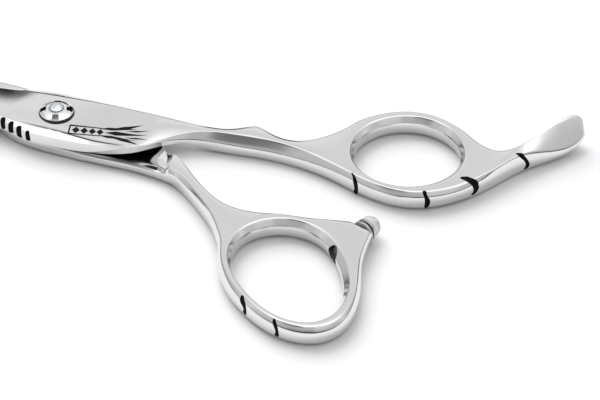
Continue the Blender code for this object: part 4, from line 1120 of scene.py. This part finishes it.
# ============================================================== the tension dial
dial = turned("tension_dial_fine", rounded([
    (1.30, 5.24), (DIAL_R - 0.05, 5.24), (DIAL_R, 5.28), (DIAL_R - 0.03, 5.37), (2.75, 5.78), (2.10, 5.99),
    (1.56, 6.08), (1.52, 5.72), (1.30, 5.72)], 0.06), PLATE, seg=128)
for k in range(4):
    a = radians(17.5 + 90 * k)
    c, s = cos(a), sin(a)
    half_in, half_out = (0.62, 0.74)
    pts = [(2.05, -half_in), (4.2, -half_out), (4.2, half_out), (2.05, half_in)]
    # painted shade: three of the four notch floors take the black enamel so they read dark as if in shade; the notch at
    # k == 1 keeps turned steel
    tool = prism("notch_tool_%d" % (k + 1), [(x * c - y * s, x * s + y * c) for x, y in pts], (5.44, 5.40, 5.44, 5.40)[k], 7.0,
                 TURNED if k == 1 else ENAMEL_AND_NOTCH_SHADE)
    m = dial.modifiers.new("Notch", 'BOOLEAN')
    m.operation, m.solver, m.object, m.material_mode = 'DIFFERENCE', 'EXACT', tool, 'TRANSFER'
    tool.hide_render = True
    tool.hide_viewport = False
me = baked(dial)
smooth(me, 30.0)
old = dial
dial = link("tension_dial_head", me)
drop(old)
for ob in [o for o in bpy.data.objects if o.name.startswith("notch_tool")]:
    drop(ob)
bev = dial.modifiers.new("Edge", 'BEVEL')
bev.width = 0.00004
bev.segments = 2
bev.limit_method = 'ANGLE'
bev.angle_limit = radians(40)
bev.harden_normals = True
piece(dial, "dial", "bright_plate", "tension_dial")

# painted shade: a thin black ring set under the rim of the dial stands in for the dark gap between the dial and the
# blade
shade_ring_under_dial = turned("dial_gasket", rounded([
    (3.30, 4.76), (3.56, 4.76), (3.56, 5.02), (3.48, 5.10), (3.30, 5.10)], 0.04), DARK_SEAL_AND_SHADE, seg=96)
piece(shade_ring_under_dial, "thumb_half", "clear_silicone")

bezel = turned("stone_bezel", rounded([
    (1.34, 5.98), (1.51, 5.98), (1.51, 6.22), (1.48, 6.33), (1.42, 6.36), (1.37, 6.32), (1.34, 6.24)], 0.03),
    TURNED, seg=96)
piece(bezel, "dial", "bright_plate", "crystal_bezel")
foil = turned("stone_foil", [(0, 5.80), (0.6, 5.90), (1.32, 6.16), (1.32, 6.20), (0.6, 5.96), (0, 5.86)], FOIL, seg=48)
piece(foil, "dial", "bright_plate")


def brilliant(name, r, z0, z1, zt):
    """Round stone: eight-sided table, crown, girdle and a cone below."""
    bm = bmesh.new()
    n = 8
    g = [bm.verts.new((r * MM * cos(2 * pi * k / 16), r * MM * sin(2 * pi * k / 16), z1 * MM)) for k in range(16)]
    mid = [bm.verts.new((0.80 * r * MM * cos(2 * pi * (k + 0.5) / n), 0.80 * r * MM * sin(2 * pi * (k + 0.5) / n),
                         lerp(z1, zt, 0.62) * MM)) for k in range(n)]
    t = [bm.verts.new((0.56 * r * MM * cos(2 * pi * k / n), 0.56 * r * MM * sin(2 * pi * k / n), zt * MM))
         for k in range(n)]
    tip = bm.verts.new((0, 0, z0 * MM))
    bm.faces.new(t)
    for k in range(n):
        q = (k + 1) % n
        bm.faces.new([t[k], t[q], mid[k]])
        bm.faces.new([g[2 * k], mid[k], t[k]])
        bm.faces.new([g[2 * k], t[k], mid[k - 1]])
        bm.faces.new([g[2 * k], g[2 * k + 1], mid[k]])
        bm.faces.new([g[2 * k + 1], g[(2 * k + 2) % 16], mid[k]])
    for k in range(16):
        bm.faces.new([g[(k + 1) % 16], g[k], tip])
    return add_object(name, bm, STONE, None, smooth=False)


stone = brilliant("pivot_stone", 1.33, 5.98, 6.30, 6.58)
piece(stone, "dial", "clear_crystal", "pivot_crystal")

# =================================================================== the bumper
ferrule = turned("bumper_collar", rounded([
    (0.92, 0.06), (BUMP_R - 0.12, 0.06), (BUMP_R, 0.18), (BUMP_R, 0.52), (BUMP_R - 0.14, 0.64),
    (BUMP_R - 0.40, 0.68), (BUMP_R - 0.40, 1.02), (BUMP_R - 0.16, 1.06), (BUMP_R - 0.04, 1.18),
    (BUMP_R - 0.04, 1.50), (BUMP_R - 0.16, 1.66), (BUMP_R - 0.42, 1.80), (0.92, 1.80)], 0.05),
    TURNED, centre=BC, axis=BAX, seg=96)
piece(ferrule, "bumper", "bright_plate", "bumper_ferrule")
seal = turned("bumper_seal", rounded([
    (BUMP_R - 0.39, 0.70), (BUMP_R - 0.16, 0.72), (BUMP_R - 0.10, 0.85), (BUMP_R - 0.16, 0.98), (BUMP_R - 0.39, 1.00)],
    0.03), DARK_SEAL_AND_SHADE, centre=BC, axis=BAX, seg=64)
piece(seal, "bumper", "clear_silicone")
pad_profile = [(0, 1.88), (1.74, 1.88), (1.96, 1.98), (2.04, 2.20), (1.90, 2.34), (1.92, 2.46), (2.05, 2.62)]
for j in range(1, 13):
    a = radians(7.5 * j)
    pad_profile.append((2.05 * cos(a) ** 0.86 if j < 12 else 0.0, 2.62 + 1.68 * sin(a)))
pad = turned("bumper_dome", pad_profile, SILICONE, centre=BC, axis=BAX, seg=96, sharp=60.0)
piece(pad, "bumper", "clear_silicone", "bumper_pad")

# ================================================ finishes of the carried pieces
for node, mat in (("pivot_screw", TURNED), ("pivot_lock_nut", TURNED), ("wave_washer", TURNED),
                  ("click_plate", TURNED), ("bumper_stud", TURNED), ("pivot_bush", BRONZE),
                  ("glide_washer", GLIDE)):
    ob = frame["nodes"][node]
    for s in ob.material_slots:
        s.material = mat
    if not ob.material_slots:
        ob.data.materials.append(mat)

# ================================================================= floor and light
bm = bmesh.new()
bmesh.ops.create_grid(bm, x_segments=8, y_segments=8, size=3.0)
floor = link("floor", bpy.data.meshes.new("floor"))
bm.to_mesh(floor.data)
bm.free()
floor.location = (0, 0, -0.00015)
m, nt, b = nodes_of("white_table", (0.74, 0.74, 0.74), 0.80)
b.inputs["Specular IOR Level"].default_value = 0.1
v = stretched(nt, 0, 1, 1, 1)
nt.links.new(mix_colour(nt, noise(nt, v, 6.0, 2.0), (0.735, 0.735, 0.735), (0.745, 0.745, 0.745)), b.inputs["Base Color"])
floor.data.materials.append(m)

TOWARD = Vector((-0.300706, 0.953717, 0.0))      # level direction of the open side of the light tent
world = bpy.data.worlds.new("light_tent")
bpy.context.scene.world = world
world.use_nodes = True
nt = world.node_tree
bg = nt.nodes["Background"]
tc = add(nt, "ShaderNodeTexCoord")
dot = add(nt, "ShaderNodeVectorMath", operation='DOT_PRODUCT')
dot.inputs[1].default_value = (-TOWARD.x, -TOWARD.y, 0)
nt.links.new(tc.outputs["Generated"], dot.inputs[0])
sep = add(nt, "ShaderNodeSeparateXYZ")
nt.links.new(tc.outputs["Generated"], sep.inputs[0])
at = add(nt, "ShaderNodeMath", operation='ARCTAN2')
nt.links.new(sep.outputs["Z"], at.inputs[0])
nt.links.new(dot.outputs["Value"], at.inputs[1])
dv = add(nt, "ShaderNodeMath", operation='DIVIDE')
dv.inputs[1].default_value = pi
nt.links.new(at.outputs[0], dv.inputs[0])
FAR_SIDE = [(0, 0.02), (9, 0.03), (14, 0.14), (19, 0.60), (25, 0.92), (32, 0.90), (40, 0.80), (48, 0.84),
            (62, 1.02), (76, 1.40)]
TENT = {
    "side": [(0, 0.02), (5, 0.06), (10, 0.35), (18, 0.58), (60, 0.66), (90, 0.80), (125, 0.62), (162, 0.55),
             (172, 0.10), (180, 0.02)],
    "left": [(0, 0.26), (9, 0.34), (14, 0.44), (19, 0.62), (25, 0.84), (32, 0.88), (40, 0.80), (48, 0.84),
             (62, 1.02), (76, 1.40), (97, 1.35), (105, 0.62), (111, 0.28), (121, 0.16), (130, 0.24), (138, 0.44), (147, 0.52),
                        (158, 0.48), (165, 0.28), (172, 0.04), (180, 0.02)],
    "middle": FAR_SIDE + [(100, 1.45), (112, 1.05), (122, 0.66), (134, 0.55), (148, 0.53), (157, 0.46), (164, 0.24),
                          (171, 0.03), (180, 0.02)],
    "right": FAR_SIDE + [(100, 1.35), (111, 0.98), (122, 0.84), (135, 0.74), (147, 0.67), (158, 0.60), (166, 0.34),
                         (173, 0.05), (180, 0.02)],
}


def tent_ramp(stops):
    ramp = add(nt, "ShaderNodeValToRGB")
    el = ramp.color_ramp.elements
    while len(el) > 1:
        el.remove(el[-1])
    el[0].position = 0.0
    el[0].color = (stops[0][1] / 2.0,) * 3 + (1,)
    for a, L in stops[1:]:
        e = el.new(a / 180.0)
        e.color = (L / 2.0,) * 3 + (1,)
    nt.links.new(dv.outputs[0], ramp.inputs[0])
    return ramp.outputs["Color"]


across = add(nt, "ShaderNodeVectorMath", operation='DOT_PRODUCT')
across.inputs[1].default_value = (FACE_R.x, FACE_R.y, 0)
nt.links.new(tc.outputs["Generated"], across.inputs[0])


def blend_tents(colour, stops, lo, hi):
    f = add(nt, "ShaderNodeMapRange", interpolation_type='SMOOTHSTEP')
    f.inputs["From Min"].default_value = lo
    f.inputs["From Max"].default_value = hi
    nt.links.new(across.outputs["Value"], f.inputs["Value"])
    mx = add(nt, "ShaderNodeMix", data_type='RGBA')
    nt.links.new(f.outputs["Result"], mx.inputs[0])
    nt.links.new(colour, mx.inputs[6])
    nt.links.new(tent_ramp(stops), mx.inputs[7])
    return mx.outputs[2]


tent = blend_tents(tent_ramp(TENT["side"]), TENT["left"], -0.72, -0.56)
tent = blend_tents(tent, TENT["middle"], -0.26, -0.12)
tent = blend_tents(tent, TENT["right"], 0.06, 0.28)
tent = blend_tents(tent, TENT["side"], 0.60, 0.80)
nt.links.new(tent, bg.inputs["Color"])
bg.inputs["Strength"].default_value = 2.0

sun_d = bpy.data.lights.new("key", 'SUN')
sun_d.energy = 2.7
sun_d.angle = radians(50)
sun = bpy.data.objects.new("key", sun_d)
bpy.context.scene.collection.objects.link(sun)
elev, swing = radians(44), radians(26)
L = (-TOWARD * cos(elev) * cos(swing) - FACE_R * cos(elev) * sin(swing) + Vector((0, 0, 1)) * sin(elev))
sun.rotation_euler = L.to_track_quat('Z', 'Y').to_euler()
sun.visible_glossy = False

# ======================================================================== camera
cam_d = bpy.data.cameras.new("camera")
cam_d.lens = 137.28
cam_d.sensor_width = 36.0
cam_d.clip_start = 0.01
cam_d.clip_end = 20
cam = bpy.data.objects.new("camera", cam_d)
bpy.context.scene.collection.objects.link(cam)
cam.matrix_world = Matrix((
    (FACE_R.x, FACE_U.x, FACE_B.x, -0.1570134),
    (FACE_R.y, FACE_U.y, FACE_B.y, 0.3357960),
    (FACE_R.z, FACE_U.z, FACE_B.z, 0.2799010),
    (0, 0, 0, 1)))
bpy.context.scene.camera = cam
sc = bpy.context.scene
sc.view_settings.view_transform = 'Standard'
sc.view_settings.look = 'None'
sc.view_settings.exposure = 0.0
sc.cycles.use_denoising = True
sc.cycles.max_bounces = 10
sc.cycles.glossy_bounces = 6
sc.cycles.sample_clamp_indirect = 6.0
